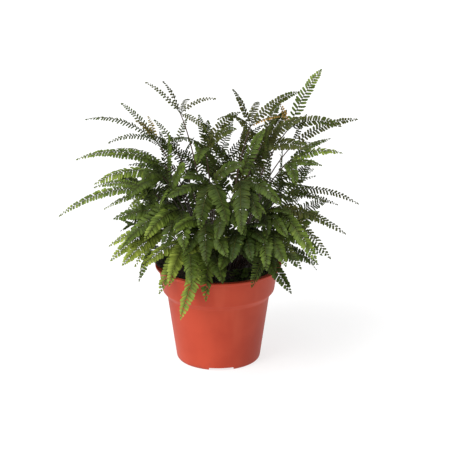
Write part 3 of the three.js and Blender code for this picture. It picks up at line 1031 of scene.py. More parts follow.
@dataclass(frozen=True)
class Look:
    """How the leaflets of a finger look."""

    freshness: float
    youth: float = 0.0
    # coolness: how much painted shade tints the leaflets blue-green
    coolness: float = 0.0
    fill: float = 0.9  # width of a leaflet, as a share of the room that it has on the rib
    reach: float = 1.0  # its length, as a share of the solid blade's half width
    pitch: float = 2.9 * MM

    def tone(self, fresher: float = 0.0, chance: float = 0.5) -> Colour:
        """The tone attribute of a leaflet that is fresher than the finger, or drawn apart from it."""
        return (self.freshness + fresher, self.youth, chance, self.coolness)


class Foliage(Enum):
    """The kinds of foliage that the plant shows."""

    FRESH = Look(freshness=0.8, fill=1.12, reach=1.12, pitch=2.7 * MM)
    BRIGHT = Look(freshness=0.66, fill=1.0, reach=1.08, pitch=2.8 * MM)
    MIDDLE = Look(freshness=0.44, fill=1.06, reach=1.08, pitch=2.8 * MM)
    # DEEP and SHADE are darker, cooler greens, partly painted shade for fronds deep in the plant.
    DEEP = Look(freshness=0.34, coolness=0.08, fill=1.18, reach=1.12, pitch=2.7 * MM)
    SHADE = Look(freshness=0.3, coolness=0.4, fill=1.2, reach=1.14, pitch=2.7 * MM)
    OLIVE = Look(freshness=0.16, fill=0.84, reach=1.08)
    FINE = Look(freshness=0.14, fill=0.95, reach=1.2)
    AIRY = Look(freshness=0.12, fill=0.66, reach=0.94, pitch=3.1 * MM)
    SPARSE = Look(freshness=0.32, fill=0.6, reach=0.96, pitch=2.8 * MM)
    COMB = Look(freshness=0.56, fill=0.74, reach=1.1, pitch=3.3 * MM)
    BRONZE = Look(freshness=0.92, youth=0.42, fill=0.78, reach=0.96)
    ROSE = Look(freshness=0.2, youth=0.62, fill=0.8, reach=0.95)


# The foliage of the fronds, in the order of their nodes, and of single fingers: the frond and the finger,
# both counted from 1. DEEP and SHADE go to the fronds and fingers inside and behind: their own darker
# green, with painted shade on it.
FROND_FOLIAGE = """
    AIRY FINE OLIVE OLIVE MIDDLE  AIRY AIRY MIDDLE DEEP FRESH
    FRESH FRESH MIDDLE BRIGHT BRIGHT  MIDDLE SPARSE DEEP DEEP OLIVE
    DEEP SHADE DEEP DEEP SHADE  FINE SPARSE DEEP SHADE SPARSE
    SPARSE AIRY FINE SPARSE SPARSE  MIDDLE SPARSE SPARSE DEEP DEEP
    MIDDLE MIDDLE SPARSE SHADE MIDDLE
""".split()
FINGER_FOLIAGE = {
    Foliage.BRIGHT: [(5, 2), (7, 3), (10, 2), (13, 1), (16, 1)],
    Foliage.MIDDLE: [(11, 3), (18, 1), (19, 3), (20, 5), (21, 4), (23, 3)],
    Foliage.DEEP: [(10, 3), (13, 5)],
    Foliage.OLIVE: [(8, 3)],
    Foliage.FINE: [(20, 2)],
    Foliage.SPARSE: [(20, 1), (20, 3)],
    Foliage.COMB: [(3, 1), (15, 2), (15, 3)],
    Foliage.BRONZE: [(17, 3), (17, 5)],
    Foliage.ROSE: [(2, 4), (3, 3)],
}


def foliage_of(owner: int, place: int) -> Look:
    """The look of a finger's leaflets, from its frond's number and its own, both from 0."""
    own = [kind for kind, fingers in FINGER_FOLIAGE.items() if (owner + 1, place + 1) in fingers]
    return (own[0] if own else Foliage[FROND_FOLIAGE[owner]]).value


@dataclass(frozen=True)
class Leaflet:
    """A small oblong leaflet, one unit long and wide: straight below, rounded and toothed above."""

    stations: int = 7
    lower: float = 0.4
    upper: float = 0.5
    teeth: float = 0.05
    phase: float = 0.0
    droop: float = 0.12
    cup: float = 0.05
    thickness: float = 0.035
    round_from: float = 0.72  # the share of the length where the round end starts
    round_over: float = 0.31
    lower_foot: float = 0.72  # the share of its width that a side has at the foot
    upper_foot: float = 0.78
    foot_over: float = 0.5
    lower_slant: float = 0.14  # how much the straight side closes in from the end to the foot

    def placed(self, along: float, side: float) -> Vector:
        """Shapes the blade.

        Args:
            along: The share of the length.
            side: The side, from -1 at the lower edge to 1 at the upper one.

        Returns:
            The place of this point of the blade.
        """
        past = max(0.0, (along - self.round_from) / self.round_over)
        rounding = math.sqrt(max(0.0, 1 - past**2))
        opening = along / self.foot_over
        if side > 0:
            tooth = self.teeth * math.cos(math.pi * (self.stations * along + self.phase))
            edge = (self.upper + tooth) * rounding * min(1.0, self.upper_foot + opening)
        else:
            slant = 1 - self.lower_slant * (1 - along)
            edge = self.lower * rounding * min(1.0, self.lower_foot + opening) * slant
        lift = self.cup * side * side * math.sin(math.pi * along) - self.droop * along * along
        return Vector((along, side * edge, lift))

    def mesh(self, mirrored: bool) -> Mesh:
        """Builds the leaflet as a thin closed shell.

        Args:
            mirrored: Whether it grows on the left of the rib.

        Returns:
            The mesh, from its foot at the origin along +X.
        """
        bm = bmesh.new()
        bmesh.ops.create_grid(bm, x_segments=self.stations, y_segments=2, size=0.5)
        set_map(bm, lambda point: (point.x + 0.5, point.y + 0.5))
        for vertex in bm.verts:
            vertex.co = self.placed(vertex.co.x + 0.5, 2 * vertex.co.y)
        bmesh.ops.solidify(bm, geom=bm.faces[:], thickness=self.thickness)
        if mirrored:
            bmesh.ops.scale(bm, vec=(1, -1, 1), verts=bm.verts)
        bmesh.ops.recalc_face_normals(bm, faces=bm.faces)
        return mesh_of(bm, "leaflet")


LEAFLETS = [
    Leaflet(),
    Leaflet(phase=1.0, droop=0.2, cup=0.09, upper=0.47),
    Leaflet(phase=0.5, droop=0.04, cup=-0.06, lower=0.44, teeth=0.06),
]


@dataclass
class Frond:
    """A forked frond: dark ribs, and pairs of leaflets along them."""

    name: str
    fingers: list[tuple[Finger, Look]]
    seed: int
    shapes: list[list[Mesh]]  # the leaflet meshes of the right and of the left side
    rib: Mesh
    rib_radius: float = 0.42 * MM
    rib_end: float = 0.13 * MM
    rib_taper: float = 0.8
    bare: float = 0.07  # share of a finger without leaflets, next to the fork
    fewest: int = 6  # pairs of leaflets on a finger
    stagger: Pair = (0.6, 1.1)  # where a leaflet stands in its room on the rib
    last: float = 0.985  # the share of a finger that no leaflet stands beyond
    sweep: float = 14.0  # forward lean of the leaflets near the fork, in degrees, as are the other turns
    end_sweep: float = 34.0
    stray_sweep: float = 5.0
    fold: Pair = (2.0, 18.0)  # how far the leaflets of a pair hang from the blade's plane
    twist: float = 12.0
    end_reach: float = 0.2  # how much longer the leaflets at the tip are than the solid blade's half width
    shortest: float = 1.3 * MM
    broadest: float = 0.9  # the most that a leaflet's width is, as a share of its length
    stray_length: Pair = (0.9, 1.06)
    stray_width: Pair = (0.92, 1.1)
    foot_gap: float = 0.2 * MM  # from the middle of the rib to a leaflet's foot
    own_chance: float = 0.6  # how much of a leaflet's chance is its own, the rest being its finger's
    tip_freshness: float = 0.2  # how much fresher the leaflets at the tip are than those at the fork
    end_size: Triple = (2.4 * MM, 1.5 * MM, 2.4 * MM)  # of the leaflet at the very tip
    end_overlap: float = 1.2 * MM

    def __post_init__(self) -> None:
        """Gets ready to gather the leaflets and to draw their small differences."""
        self.gathering = Gathering()
        self.chance = random.Random(self.seed)

    def grow_leaflets(self, finger: Finger, look: Look) -> None:
        """Grows the leaflets of a finger.

        Args:
            finger: The finger.
            look: How its leaflets look.
        """
        chance = self.chance
        room = finger.length * (1 - self.bare)
        pairs = max(self.fewest, round(room / look.pitch))
        finger_chance = chance.random()
        for place in range(2 * pairs):
            spot = (place + chance.uniform(*self.stagger)) / (2 * pairs)
            share = min(self.last, self.bare + (1 - self.bare) * spot)
            side = 1 if place % 2 else -1
            turn, foot = self.leaflet_place(finger, share, side, look, room / pairs)
            shape = chance.choice(self.shapes[0 if side > 0 else 1])
            mixed = self.own_chance * chance.random() + (1 - self.own_chance) * finger_chance
            self.gathering.add_turned(shape, turn, foot, look.tone(self.tip_freshness * (share - 0.5), mixed))
        directions = finger.directions(1)
        turn = Matrix([way * size for way, size in zip(directions, self.end_size)]).transposed()
        foot = finger.tip - directions[0] * self.end_overlap
        self.gathering.add_turned(self.shapes[0][0], turn, foot, look.tone())

    def leaflet_place(self, finger: Finger, share: float, side: int, look: Look,
                      pitch: float) -> tuple[Matrix, Vector]:
        """Finds how one leaflet stands on the rib.

        Args:
            finger: The finger.
            share: The share of the finger's length where it stands.
            side: 1 for the right side of the rib and -1 for the left side.
            look: How it looks.
            pitch: The room that a pair of leaflets has on the rib.

        Returns:
            The turn and size of the leaflet, and the place of its foot.
        """
        chance = self.chance
        along, across, out = finger.directions(share)
        stray = chance.uniform(-self.stray_sweep, self.stray_sweep)
        sweep = math.radians(self.sweep + (self.end_sweep - self.sweep) * share + stray)
        fold = math.radians(chance.uniform(*self.fold))
        level = (across * (side * math.cos(sweep)) + along * math.sin(sweep)).normalized()
        lengthwise = level * math.cos(fold) - out * math.sin(fold)
        full = finger.half_width_at(share) * (1 + self.end_reach * share**3)
        length = max(self.shortest, full * look.reach * chance.uniform(*self.stray_length))
        width = min(pitch * look.fill * chance.uniform(*self.stray_width), self.broadest * length)
        twist = math.radians(self.twist)
        widthwise = (turn_between(chance, -twist, twist, lengthwise) @ out).cross(lengthwise).normalized()
        normal = lengthwise.cross(widthwise)
        # The columns carry a unit leaflet's length, width and height to the frond.
        columns = Matrix((lengthwise * length, widthwise * width, normal * length)).transposed()
        return columns, finger.curve.point(share) + level * self.foot_gap

    def rib_radius_at(self, share: float) -> float:
        """The rib's radius at a share of its length."""
        return self.rib_radius + (self.rib_end - self.rib_radius) * share**self.rib_taper

    def build(self, finish: list[Material]) -> Object:
        """Builds the frond and puts it in the place of its node.

        Args:
            finish: The leaf's and the rib's material.

        Returns:
            The piece.
        """
        for finger, look in self.fingers:
            self.gathering.add(self.rib, along_curve(finger.curve, self.rib_radius_at))
            self.grow_leaflets(finger, look)
        piece = named_piece(f"leaves_{self.name}", self.gathering.mesh(self.name), finish, sharp=50)
        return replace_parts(piece, self.name)


# ---- pot


@dataclass
class NurseryPot:
    """A round tapered pot with a collar and a lip, a foot with drain notches, and drain holes."""

    height: float = 94 * MM
    lip_radius: float = 60 * MM
    lip_height: float = 2.2 * MM
    collar_top: float = 56.6 * MM
    collar_bottom: float = 53.2 * MM
    collar_level: float = 69 * MM
    shoulder: float = 5.6 * MM
    body_top: float = 48.6 * MM
    foot_radius: float = 40 * MM
    foot_width: float = 5 * MM
    channel: float = 2.6 * MM
    pad_radius: float = 12 * MM
    slant: float = 1.5 * MM
    wall: float = 1.4 * MM
    notches: int = 3
    notch_width: float = 23.5 * MM
    notch_turn: float = 4.4  # how far the front notch stands to the right, in degrees
    holes: int = 4
    hole_radius: float = 3.6 * MM
    hole_circle: float = 22 * MM
    steps: int = 160
    drill_sides: int = 24

    def outline(self) -> list[Pair]:
        """Draws the profile.

        Returns:
            Its points, from the middle of the base round the outside and back along the inside.
        """
        floor = self.channel + self.wall
        lip_bottom = self.height - self.lip_height
        shoulder_bottom = self.collar_level - self.shoulder
        return rounded([
            (0, 0, 0),
            (self.pad_radius, 0, 0.5 * MM),
            (self.pad_radius + self.slant, self.channel, 0.5 * MM),
            (self.foot_radius - self.foot_width - self.slant, self.channel, 0.5 * MM),
            (self.foot_radius - self.foot_width, 0, 0.5 * MM),
            (self.foot_radius - 0.3 * MM, 0, 3 * MM),
            (self.body_top, shoulder_bottom, 1.4 * MM),
            (self.collar_bottom, self.collar_level, 1.2 * MM),
            (self.collar_top, lip_bottom - 1.1 * MM, 1.0 * MM),
            (self.lip_radius - 0.3 * MM, lip_bottom, 0.7 * MM),
            (self.lip_radius, self.height, 0.9 * MM),
            (self.collar_top - self.wall, self.height, 0.9 * MM),
            (self.collar_bottom - self.wall, self.collar_level + 1 * MM, 1 * MM),
            (self.body_top - self.wall, shoulder_bottom + 0.4 * MM, 1 * MM),
            (self.foot_radius - self.wall, floor, 2 * MM),
            (0, floor, 0),
        ])

    def cutter(self) -> Mesh:
        """Makes what is cut out of the turned pot.

        Returns:
            A block for each drain notch and a rod for each drain hole.
        """
        bm = bmesh.new()
        size = Matrix.Diagonal((2 * self.foot_width + 4 * MM, self.notch_width, 2 * self.channel, 1))
        for notch in range(self.notches):
            angle = math.radians(360 * notch / self.notches - 90 + self.notch_turn)
            out = Matrix.Rotation(angle, 4, "Z") @ Matrix.Translation((self.foot_radius, 0, 0))
            bmesh.ops.create_cube(bm, size=1, matrix=out @ size)
        for hole in range(self.holes):
            turn = Matrix.Rotation(math.tau * (hole + 0.5) / self.holes, 4, "Z")
            centre = Matrix.Translation((self.hole_circle, 0, self.channel + self.wall / 2))
            bmesh.ops.create_cone(bm, cap_ends=True, segments=self.drill_sides, radius1=self.hole_radius,
                                  radius2=self.hole_radius, depth=4 * self.wall, matrix=turn @ centre)
        return mesh_of(bm, "drainage")

    def cut(self, mesh: Mesh) -> Mesh:
        """Cuts the drainage out of the turned pot.

        Args:
            mesh: The turned pot.

        Returns:
            The pot's mesh.
        """
        blank, drainage = linked("blank", mesh), linked("drainage", self.cutter())
        boolean = blank.modifiers.new("drainage", "BOOLEAN")
        boolean.operation = "DIFFERENCE"
        boolean.solver = "EXACT"
        boolean.object = drainage
        bpy.context.view_layer.update()
        done = bpy.data.meshes.new_from_object(blank.evaluated_get(bpy.context.evaluated_depsgraph_get()))
        for piece in (blank, drainage):
            bpy.data.objects.remove(piece)
        return done

    def build(self, finish: MouldedPlastic) -> Object:
        """Builds the pot in the place of its node.

        Args:
            finish: The finish of all of it.

        Returns:
            The piece.
        """
        mesh = self.cut(mesh_of(turned(self.outline(), self.steps), "pot"))
        piece = named_piece("nursery_pot", mesh, [finish.material()], sharp=35)
        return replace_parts(piece, "pot")


# ---- soil


@dataclass(frozen=True)
class PeatClump:
    """A lump of peat and old roots that leans on the pot's rim."""

    centre: Triple  # in millimetres, as is its size along each axis
    size: Triple
    knobs: Pair = (0.3, 2.4)  # height and waves of its roughness, as shares of its size
    grains: Pair = (0.12, 9)
    clearance: float = 0.4 * MM  # over the lip
    flank: float = 0.8  # the square of the share of its width past which it counts as no ground

    def grow(self, bm: BMesh, pot: NurseryPot) -> None:
        """Adds the clump, kept clear of the pot's wall and lip.

        Args:
            bm: The mesh that it is added to.
            pot: The pot that it leans on.
        """
        limit = pot.collar_bottom - pot.wall
        ball = bmesh.ops.create_icosphere(bm, subdivisions=5, radius=1)
        for vertex in ball["verts"]:
            swell = 1 + rough_at(vertex.co, self.knobs, self.grains)
            reach = zip(self.centre, self.size, vertex.co)
            point = Vector([centre + size * way * swell for centre, size, way in reach]) * MM
            away = math.hypot(point.x, point.y)
            if point.z < pot.height + self.clearance and away > limit:
                point.xy = point.xy * (limit / away)
            vertex.co = point

    def top(self, x: float, y: float) -> float:
        """The height of its top at a place, or zero beside it."""
        away = sum(((at / MM - mid) / reach) ** 2 for at, mid, reach in zip((x, y), self.centre, self.size))
        return (self.centre[2] + self.size[2] * math.sqrt(1 - away)) * MM if away < self.flank else 0.0


@dataclass
class SoilBed:
    """Potting soil that fills the pot, uneven on top, with crumbs, splinters, moss and sprouts."""

    pot: NurseryPot
    edge: float = 88.5 * MM
    swell: float = 2.2 * MM
    bumps: float = 1.1 * MM
    clods: Pair = (0.9 * MM, 160)  # height, and waves to the metre
    grains: Pair = (0.5 * MM, 420)
    gap: float = 0.3 * MM
    rings: int = 34
    steps: int = 150
    litter_seed: int = 7
    litter_reach: float = 52 * MM
    litter_tilt: float = 0.5
    litter_lift: float = 0.2  # of its middle above the surface, as a share of its height
    crumbs: int = 900
    crumb_size: Pair = (0.35 * MM, 1.1 * MM)
    crumb_growth: Pair = (0.8, 6)  # how much larger the largest are, and how rare they are
    crumb_length: Pair = (0.8, 1.5)  # against its size, as is its height
    crumb_height: Pair = (0.5, 0.9)
    splinters: int = 160
    splinter_length: Pair = (1.5 * MM, 4.5 * MM)
    splinter_section: Pair = (0.35 * MM, 0.25 * MM)
    moss_seed: int = 11
    tufts: int = 1500
    tuft_radius: float = 0.3 * MM
    tuft_height: Pair = (1.2 * MM, 4.2 * MM)
    tuft_lean: float = 0.7
    tuft_depth: float = 0.2 * MM  # of its foot below the surface
    moss_reach: float = 53 * MM
    sprout_seed: int = 17
    sprout_leaves: int = 70
    sprout_size: Pair = (3.6 * MM, 7.0 * MM)
    sprout_width: float = 0.8  # against its size
    sprout_tilt: Pair = (-0.9, 0.2)
    sprout_height: Pair = (0.5 * MM, 4.0 * MM)
    sprout_freshness: Pair = (0.35, 0.7)
    # the blue-green of painted shade, under the fronds
    sprout_coolness: float = 0.45
    sprout_reach: float = 50 * MM
    sprout_patch: Triple = (31, -33, 19)  # x, y and radius in millimetres, as below
    moss_patches: tuple[Triple, ...] = (
        (32, -36, 15), (47, -6, 9), (-48, -2, 9), (-42, 24, 10), (0, 46, 10), (38, 30, 12), (12, -46, 8),
    )
    clumps: tuple[PeatClump, ...] = (
        PeatClump((-50.5, -3, 93), (9.5, 12, 7.5)), PeatClump((47, 12, 95.5), (13, 17, 10)),
    )

    def level(self, x: float, y: float) -> float:
        """Measures the bed at a place.

        Args:
            x: The place along X.
            y: The place along Y.

        Returns:
            The height of the bed there.
        """
        radius = math.hypot(x, y) / self.pot.collar_top
        u, v = x / MM, y / MM
        # The same slow waves as on the solid, in radians to the millimetre.
        wave = math.sin(u * 0.31 + 1.3) * math.cos(v * 0.27) + math.sin(u * 0.13 - v * 0.19)
        level = self.edge + self.swell * (1 - radius * radius) + self.bumps * wave * (1 - 0.5 * radius)
        return level + rough_at(Vector((x, y, 0)), self.clods) + rough_at(Vector((x, y, 1)), self.grains)

    def surface(self, x: float, y: float) -> float:
        """The height of what lies uppermost, the bed or a clump."""
        return max(self.level(x, y), *(clump.top(x, y) for clump in self.clumps))

    def bed(self) -> Mesh:
        """Builds the body of the soil, with the clumps that lean on the rim.

        Returns:
            The mesh.
        """
        inner = self.pot.wall + self.gap
        floor = self.pot.channel + inner
        shoulder = self.pot.collar_level - self.pot.shoulder
        top = self.pot.collar_bottom - inner + 1.6 * MM
        # What is added or taken off here keeps its corners clear of the pot's rounded ones.
        outline = [
            (0, floor),
            (self.pot.foot_radius - inner - 0.4 * MM, floor),
            (self.pot.body_top - inner, shoulder + 0.9 * MM),
            (self.pot.collar_bottom - inner, self.pot.collar_level + 1.5 * MM),
        ]
        outline += [(top * ring / self.rings, self.edge) for ring in range(self.rings, -1, -1)]
        bm = turned(outline, self.steps)
        for vertex in bm.verts:
            if vertex.co.z > self.edge - 0.1 * MM:
                vertex.co.z = self.level(vertex.co.x, vertex.co.y)
        for clump in self.clumps:
            clump.grow(bm, self.pot)
        return mesh_of(bm, "soil")

    @staticmethod
    def tilt(chance: random.Random, most: float, axis: str) -> Matrix:
        """A turn by up to an angle in radians, either way."""
        return turn_between(chance, -most, most, axis)

    def scatter(self, gathering: Gathering, shape: Mesh, size: Vector, chance: random.Random) -> None:
        """Lays one small piece on the surface.

        Args:
            gathering: What the pieces are gathered in.
            shape: The piece's mesh.
            size: Its size along each axis.
            chance: The source of its place and turn.
        """
        x, y = spot_in(chance, self.litter_reach)
        turn = turn_between(chance, 0, math.tau, "Z") @ self.tilt(chance, self.litter_tilt, "X")
        foot = Vector((x, y, self.surface(x, y) + self.litter_lift * size.z))
        gathering.add_turned(shape, turn @ Matrix.Diagonal(size), foot)

    def litter(self) -> Mesh:
        """Builds the crumbs and splinters that lie on the soil.

        Returns:
            The mesh of all of them.
        """
        gathering, chance = Gathering(), random.Random(self.litter_seed)
        bm = bmesh.new()
        bmesh.ops.create_icosphere(bm, subdivisions=1, radius=1)
        crumb = mesh_of(bm, "crumb")
        growth, rarity = self.crumb_growth
        for _ in range(self.crumbs):
            size = chance.uniform(*self.crumb_size) * (1 + growth * chance.random() ** rarity)
            length, height = chance.uniform(*self.crumb_length), chance.uniform(*self.crumb_height)
            self.scatter(gathering, crumb, Vector((length, 1, height)) * size, chance)
        for _ in range(self.splinters):
            size = Vector((chance.uniform(*self.splinter_length), *self.splinter_section))
            self.scatter(gathering, crumb, size, chance)
        return gathering.mesh("litter")

    def moss(self) -> Mesh:
        """Builds short blades of moss in a few patches.

        Returns:
            The mesh of all of them.
        """
        gathering, chance = Gathering(), random.Random(self.moss_seed)
        bm = bmesh.new()
        bmesh.ops.create_cone(bm, cap_ends=True, segments=3, radius1=1, radius2=0.15, depth=1,
                              matrix=Matrix.Translation((0, 0, 0.5)))
        blade = mesh_of(bm, "moss_blade")
        for tuft in range(self.tufts):
            *middle, radius = self.moss_patches[tuft % len(self.moss_patches)]
            x, y = (value * MM for value in spot_in(chance, radius, middle))
            if math.hypot(x, y) > self.moss_reach:
                continue
            turn = self.tilt(chance, self.tuft_lean, "X") @ self.tilt(chance, self.tuft_lean, "Y")
            size = Matrix.Diagonal((self.tuft_radius, self.tuft_radius, chance.uniform(*self.tuft_height)))
            foot = Vector((x, y, self.surface(x, y) - self.tuft_depth))
            gathering.add_turned(blade, turn @ size, foot)
        return gathering.mesh("moss")

    def sprouts(self, leaf: Mesh) -> Mesh:
        """Builds the single leaflets of very young fronds, which stand low over the soil.

        Args:
            leaf: A leaflet's mesh.

        Returns:
            The mesh of all of them.
        """
        gathering, chance = Gathering(), random.Random(self.sprout_seed)
        *middle, radius = self.sprout_patch
        for _ in range(self.sprout_leaves):
            x, y = (value * MM for value in spot_in(chance, radius, middle))
            if math.hypot(x, y) > self.sprout_reach:
                continue
            turn = turn_between(chance, 0, math.tau, "Z") @ turn_between(chance, *self.sprout_tilt, "Y")
            size = Matrix.Diagonal(Vector((1, self.sprout_width, 1)) * chance.uniform(*self.sprout_size))
            foot = Vector((x, y, self.surface(x, y) + chance.uniform(*self.sprout_height)))
            tone = (chance.uniform(*self.sprout_freshness), 0, chance.random(), self.sprout_coolness)
            gathering.add_turned(leaf, turn @ size, foot, tone)
        return gathering.mesh("sprouts")

    def build(self, soil: PottingSoil, moss: Moss, leaf: Material) -> None:
        """Builds the soil in the place of its node, with its litter, moss and sprouts.

        Args:
            soil: The finish of the bed and its litter.
            moss: The finish of the moss.
            leaf: The leaflets' material.
        """
        peat = soil.material()
        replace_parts(named_piece("soil_bed", self.bed(), [peat], sharp=60), "soil")
        named_piece("soil_litter", self.litter(), [peat], sharp=70)
        named_piece("soil_moss", self.moss(), [moss.material()], sharp=60)
        named_piece("soil_sprouts", self.sprouts(LEAFLETS[0].mesh(False)), [leaf], sharp=50)


# ---- rhizome and stems


@dataclass
class Rhizome:
    """The low mound of rootstocks that every stem grows from, with the stems."""

    STEM_RADIUS = 1 * MM
    RADIUS, HEIGHT, BASE = 31 * MM, 9.5 * MM, 86 * MM
    ROOT_REACH, ROOT_SPREAD, ROOT_DEPTH = 11 * MM, 26 * MM, 5 * MM
    BOW, RISE, CLEAR = 0.42, 0.72, 1.8 * MM

    low_radius: float = 0.95 * MM
    high_radius: float = 0.5 * MM
    taper: float = 1.15  # how much sooner than at its end a stem has its upper radius
    knots: Pair = (1.6 * MM, 5.5)  # height, and waves on a mound of radius 1
    wrinkles: Pair = (0.6 * MM, 17)
    seed: int = 5
    bristles: int = 26
    bristly: Pair = (0.1, 0.85)  # where on a stem they start, and the share that they cover
    crowding: float = 1.6  # how much closer they stand near its foot
    bristle_foot: float = 0.8  # from the middle of the stem, as a share of its radius
    bristle_lean: Pair = (0.2, 1.0)  # along the stem, against 1 away from it
    bristle_length: Pair = (0.8 * MM, 2.0 * MM)
    bristle_bow: float = 0.15 * MM
    bristle_radii: Pair = (0.08 * MM, 0.02 * MM)  # at the foot and at the end
    scales: int = 700
    scale_length: Pair = (1.5 * MM, 4.5 * MM)
    scale_rise: Pair = (0.3, 1.2)  # against up to 1 to each side
    scale_depth: float = 0.3 * MM  # of its foot in the mound
    scale_curl: Pair = (-0.4, 0.8)  # of its middle, in millimetres
    scale_radii: Pair = (0.28 * MM, 0.04 * MM)
    scaly: float = 0.95  # the share of the mound's radius that has scales

    def __post_init__(self) -> None:
        """Gets ready to gather the mound, the stems, their bristles and the scales."""
        self.gathering = Gathering()
        self.chance = random.Random(self.seed)
        self.hair = unit_rod(sides=3, steps=2)

    @classmethod
    def stem_curve(cls, fork: Vector, turn: float) -> Curve:
        """The curve of a stem from the rhizome to just below its fork.

        Args:
            fork: The frond's fork.
            turn: How far the root is turned round the rhizome, in radians.

        Returns:
            The curve.
        """
        away = math.hypot(fork.x, fork.y)
        lean = math.atan2(away, fork.z - cls.BASE)
        azimuth = math.atan2(fork.y, fork.x) + turn
        distance = min(cls.RADIUS - cls.ROOT_REACH, cls.ROOT_SPREAD * lean)
        height = cls.BASE + cls.HEIGHT * math.sqrt(1 - (distance / cls.RADIUS) ** 2) - cls.ROOT_DEPTH
        root = Vector((distance * math.cos(azimuth), distance * math.sin(azimuth), height))
        bend = root.lerp(fork, cls.BOW)
        bend.z = root.z + cls.RISE * (fork.z - root.z)
        return Curve(root, bend, fork - (fork - bend).normalized() * cls.CLEAR)

    def mound(self) -> Mesh:
        """Builds the knobbly mound.

        Returns:
            The mesh.
        """
        bm = bmesh.new()
        bmesh.ops.create_icosphere(bm, subdivisions=5, radius=1)
        set_map(bm, lambda point: (0.1, 0.5))
        for vertex in bm.verts:
            x, y, z = vertex.co
            knob = MM * math.sin(5 * x + 1) * math.cos(4 * y - 2 * x)  # as on the solid
            rough = rough_at(vertex.co, self.knots, self.wrinkles)
            radius, height = self.RADIUS + knob + rough, self.HEIGHT + 0.6 * knob + rough
            vertex.co = (x * radius, y * radius, self.BASE + z * height)
        return mesh_of(bm, "mound")

    def radius_at(self, share: float) -> float:
        """A stem's radius at a share of its length."""
        return self.low_radius + (self.high_radius - self.low_radius) * min(1.0, share * self.taper)

    def build(self, stems: list[tuple[Curve, Vector]], finish: DarkStem) -> Object:
        """Builds the rhizome and the stems in the place of their node.

        Args:
            stems: The curve of each stem, with the fork that it leads to.
            finish: The finish of all of it.

        Returns:
            The piece.
        """
        self.gathering.add(self.mound(), lambda point: point)
        rod = unit_rod(sides=8, steps=18)
        for curve, fork in stems:
            whole = Curve(curve.start, curve.control, fork)
            self.gathering.add(rod, along_curve(whole, self.radius_at))
            for _ in range(self.bristles):
                self.add_bristle(whole)
        for _ in range(self.scales):
            self.add_scale()
        mesh = self.gathering.mesh("rhizome")
        piece = named_piece("rhizome_and_stems", mesh, [finish.material()], sharp=60)
        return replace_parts(piece, "rhizome_stems")

    def add_bristle(self, stem: Curve) -> None:
        """Adds a fine hair to a stem, more of them near its foot.

        Args:
            stem: The stem's curve.
        """
        chance = self.chance
        start, cover = self.bristly
        share = start + cover * chance.random() ** self.crowding
        along = stem.tangent(share)
        side = turn_between(chance, 0, math.tau, along) @ along.cross(stem.REFERENCE).normalized()
        foot = stem.point(share) + side * (self.radius_at(share) * self.bristle_foot)
        way = (side + along * chance.uniform(*self.bristle_lean)).normalized()
        tip = foot + way * chance.uniform(*self.bristle_length)
        hair = Curve(foot, foot.lerp(tip, 0.5) + along * self.bristle_bow, tip)
        self.gathering.add(self.hair, along_curve(hair, tapering(*self.bristle_radii)))

    def add_scale(self) -> None:
        """Adds a narrow papery scale to the top of the mound."""
        chance = self.chance
        x, y = spot_in(chance, self.scaly)
        height = self.BASE + self.HEIGHT * math.sqrt(1 - x * x - y * y)
        foot = Vector((x * self.RADIUS, y * self.RADIUS, height - self.scale_depth))
        level = [chance.uniform(-1, 1) for _ in range(2)]
        way = Vector((*level, chance.uniform(*self.scale_rise))).normalized()
        tip = foot + way * chance.uniform(*self.scale_length)
        curl = foot.lerp(tip, 0.5) + UP * chance.uniform(*self.scale_curl) * MM
        self.gathering.add(self.hair, along_curve(Curve(foot, curl, tip), tapering(*self.scale_radii)))


# ---- studio


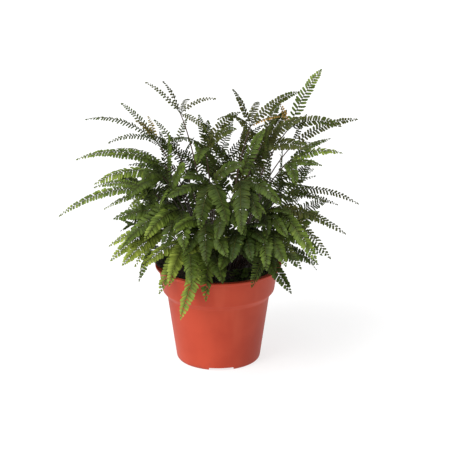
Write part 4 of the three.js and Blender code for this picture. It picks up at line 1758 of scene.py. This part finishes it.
@dataclass
class Studio:
    """The pale floor, the soft light and the camera at the photograph's viewing angle."""

    # The direction that each lamp shines from, how wide it looks in degrees, and its watts to a square metre.
    LAMPS = {
        "key_light": (Vector((-1.0, -0.9, 1.7)), 34, 2.5),
        "top_light": (Vector((-0.3, 0.5, 2.0)), 70, 0.8),
        "side_light": (Vector((-0.8, -1.0, 0.3)), 50, 1.65),
    }
    AIM = Vector((6.3, 0, 131.6)) * MM

    distance: float = 1.6
    elevation: float = 18.0
    lens: float = 136.0
    sensor: float = 36.0
    floor_size: float = 12.0
    sky: float = 0.24

    def build(self) -> None:
        """Builds the studio."""
        self.floor()
        for name, (source, spread, power) in self.LAMPS.items():
            self.lamp(name, source, spread, power)
        world = bpy.data.worlds.new("studio")
        world.use_nodes = True
        background = world.node_tree.nodes["Background"]
        background.inputs["Color"].default_value = (1, 1, 1, 1)
        background.inputs["Strength"].default_value = self.sky
        bpy.context.scene.world = world
        self.camera()
        bpy.context.scene.view_settings.view_transform = "Standard"

    def floor(self) -> None:
        """Lays the floor, which isn't part of the object."""
        bm = bmesh.new()
        bmesh.ops.create_grid(bm, x_segments=1, y_segments=1, size=self.floor_size / 2)
        floor = linked("floor", mesh_of(bm, "floor"))
        floor.data.materials.append(PaleFloor().material())

    def lamp(self, name: str, source: Vector, spread: float, power: float) -> None:
        """Adds a soft distant lamp that lights the floor evenly.

        Args:
            name: The lamp's name.
            source: The direction that it shines from.
            spread: How wide it looks from the plant, in degrees.
            power: Its power in watts for each square metre.
        """
        lamp = bpy.data.lights.new(name, "SUN")
        lamp.angle = math.radians(spread)
        lamp.energy = power
        linked(name, lamp).rotation_euler = (-source).to_track_quat("-Z", "Y").to_euler()

    def camera(self) -> None:
        """Puts the camera at the photograph's distance and viewing angle."""
        lens = bpy.data.cameras.new("camera")
        lens.lens = self.lens
        lens.sensor_width = self.sensor
        camera = linked("camera", lens)
        tilt = math.radians(self.elevation)
        camera.location = self.AIM + Vector((0, -math.cos(tilt), math.sin(tilt))) * self.distance
        camera.rotation_euler = (math.pi / 2 - tilt, 0, 0)
        bpy.context.scene.camera = camera


# ---- the whole plant


def build_fronds(growth: Growth, plans: list[FrondPlan], leaf: Material) -> None:
    """Builds every frond along the fingers that the frame holds.

    Args:
        growth: The rule by which they were grown.
        plans: The plan of each frond.
        leaf: The leaflets' material.
    """
    shapes = [[leaflet.mesh(mirrored) for leaflet in LEAFLETS] for mirrored in (False, True)]
    rib = unit_rod(sides=5, steps=10, material=1)
    finish = [leaf, FrondRib().material()]
    found = 0
    for owner, plan in enumerate(plans):
        name = f"frond_{owner + 1:02d}"
        solid = Solid(name)
        fingers = []
        for place in range(len(plan.tips)):
            finger = growth.finger(owner, place, plan, solid)
            if finger is None:
                LOG.info("%s has no finger %d", name, place + 1)
                continue
            fingers.append((finger, foliage_of(owner, place)))
        found += len(fingers)
        Frond(name, fingers, owner, shapes, rib).build(finish)
    LOG.info("%d fingers found", found)


def main() -> None:
    """Builds the studio and the plant in its pot."""
    logging.basicConfig(level=logging.INFO, format="%(message)s", stream=sys.stdout)
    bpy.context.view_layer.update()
    Studio().build()
    pot = NurseryPot()
    pot.build(MouldedPlastic())
    leaf = LeafBlade().material()
    SoilBed(pot).build(PottingSoil(), Moss(), leaf)
    plans = frond_plans()
    growth, solid = Growth(), Solid("rhizome_stems")
    stems = [(growth.stem(owner, plan.fork, solid), plan.fork) for owner, plan in enumerate(plans)]
    Rhizome().build(stems, DarkStem())
    build_fronds(growth, plans, leaf)


if __name__ == "__main__":
    main()
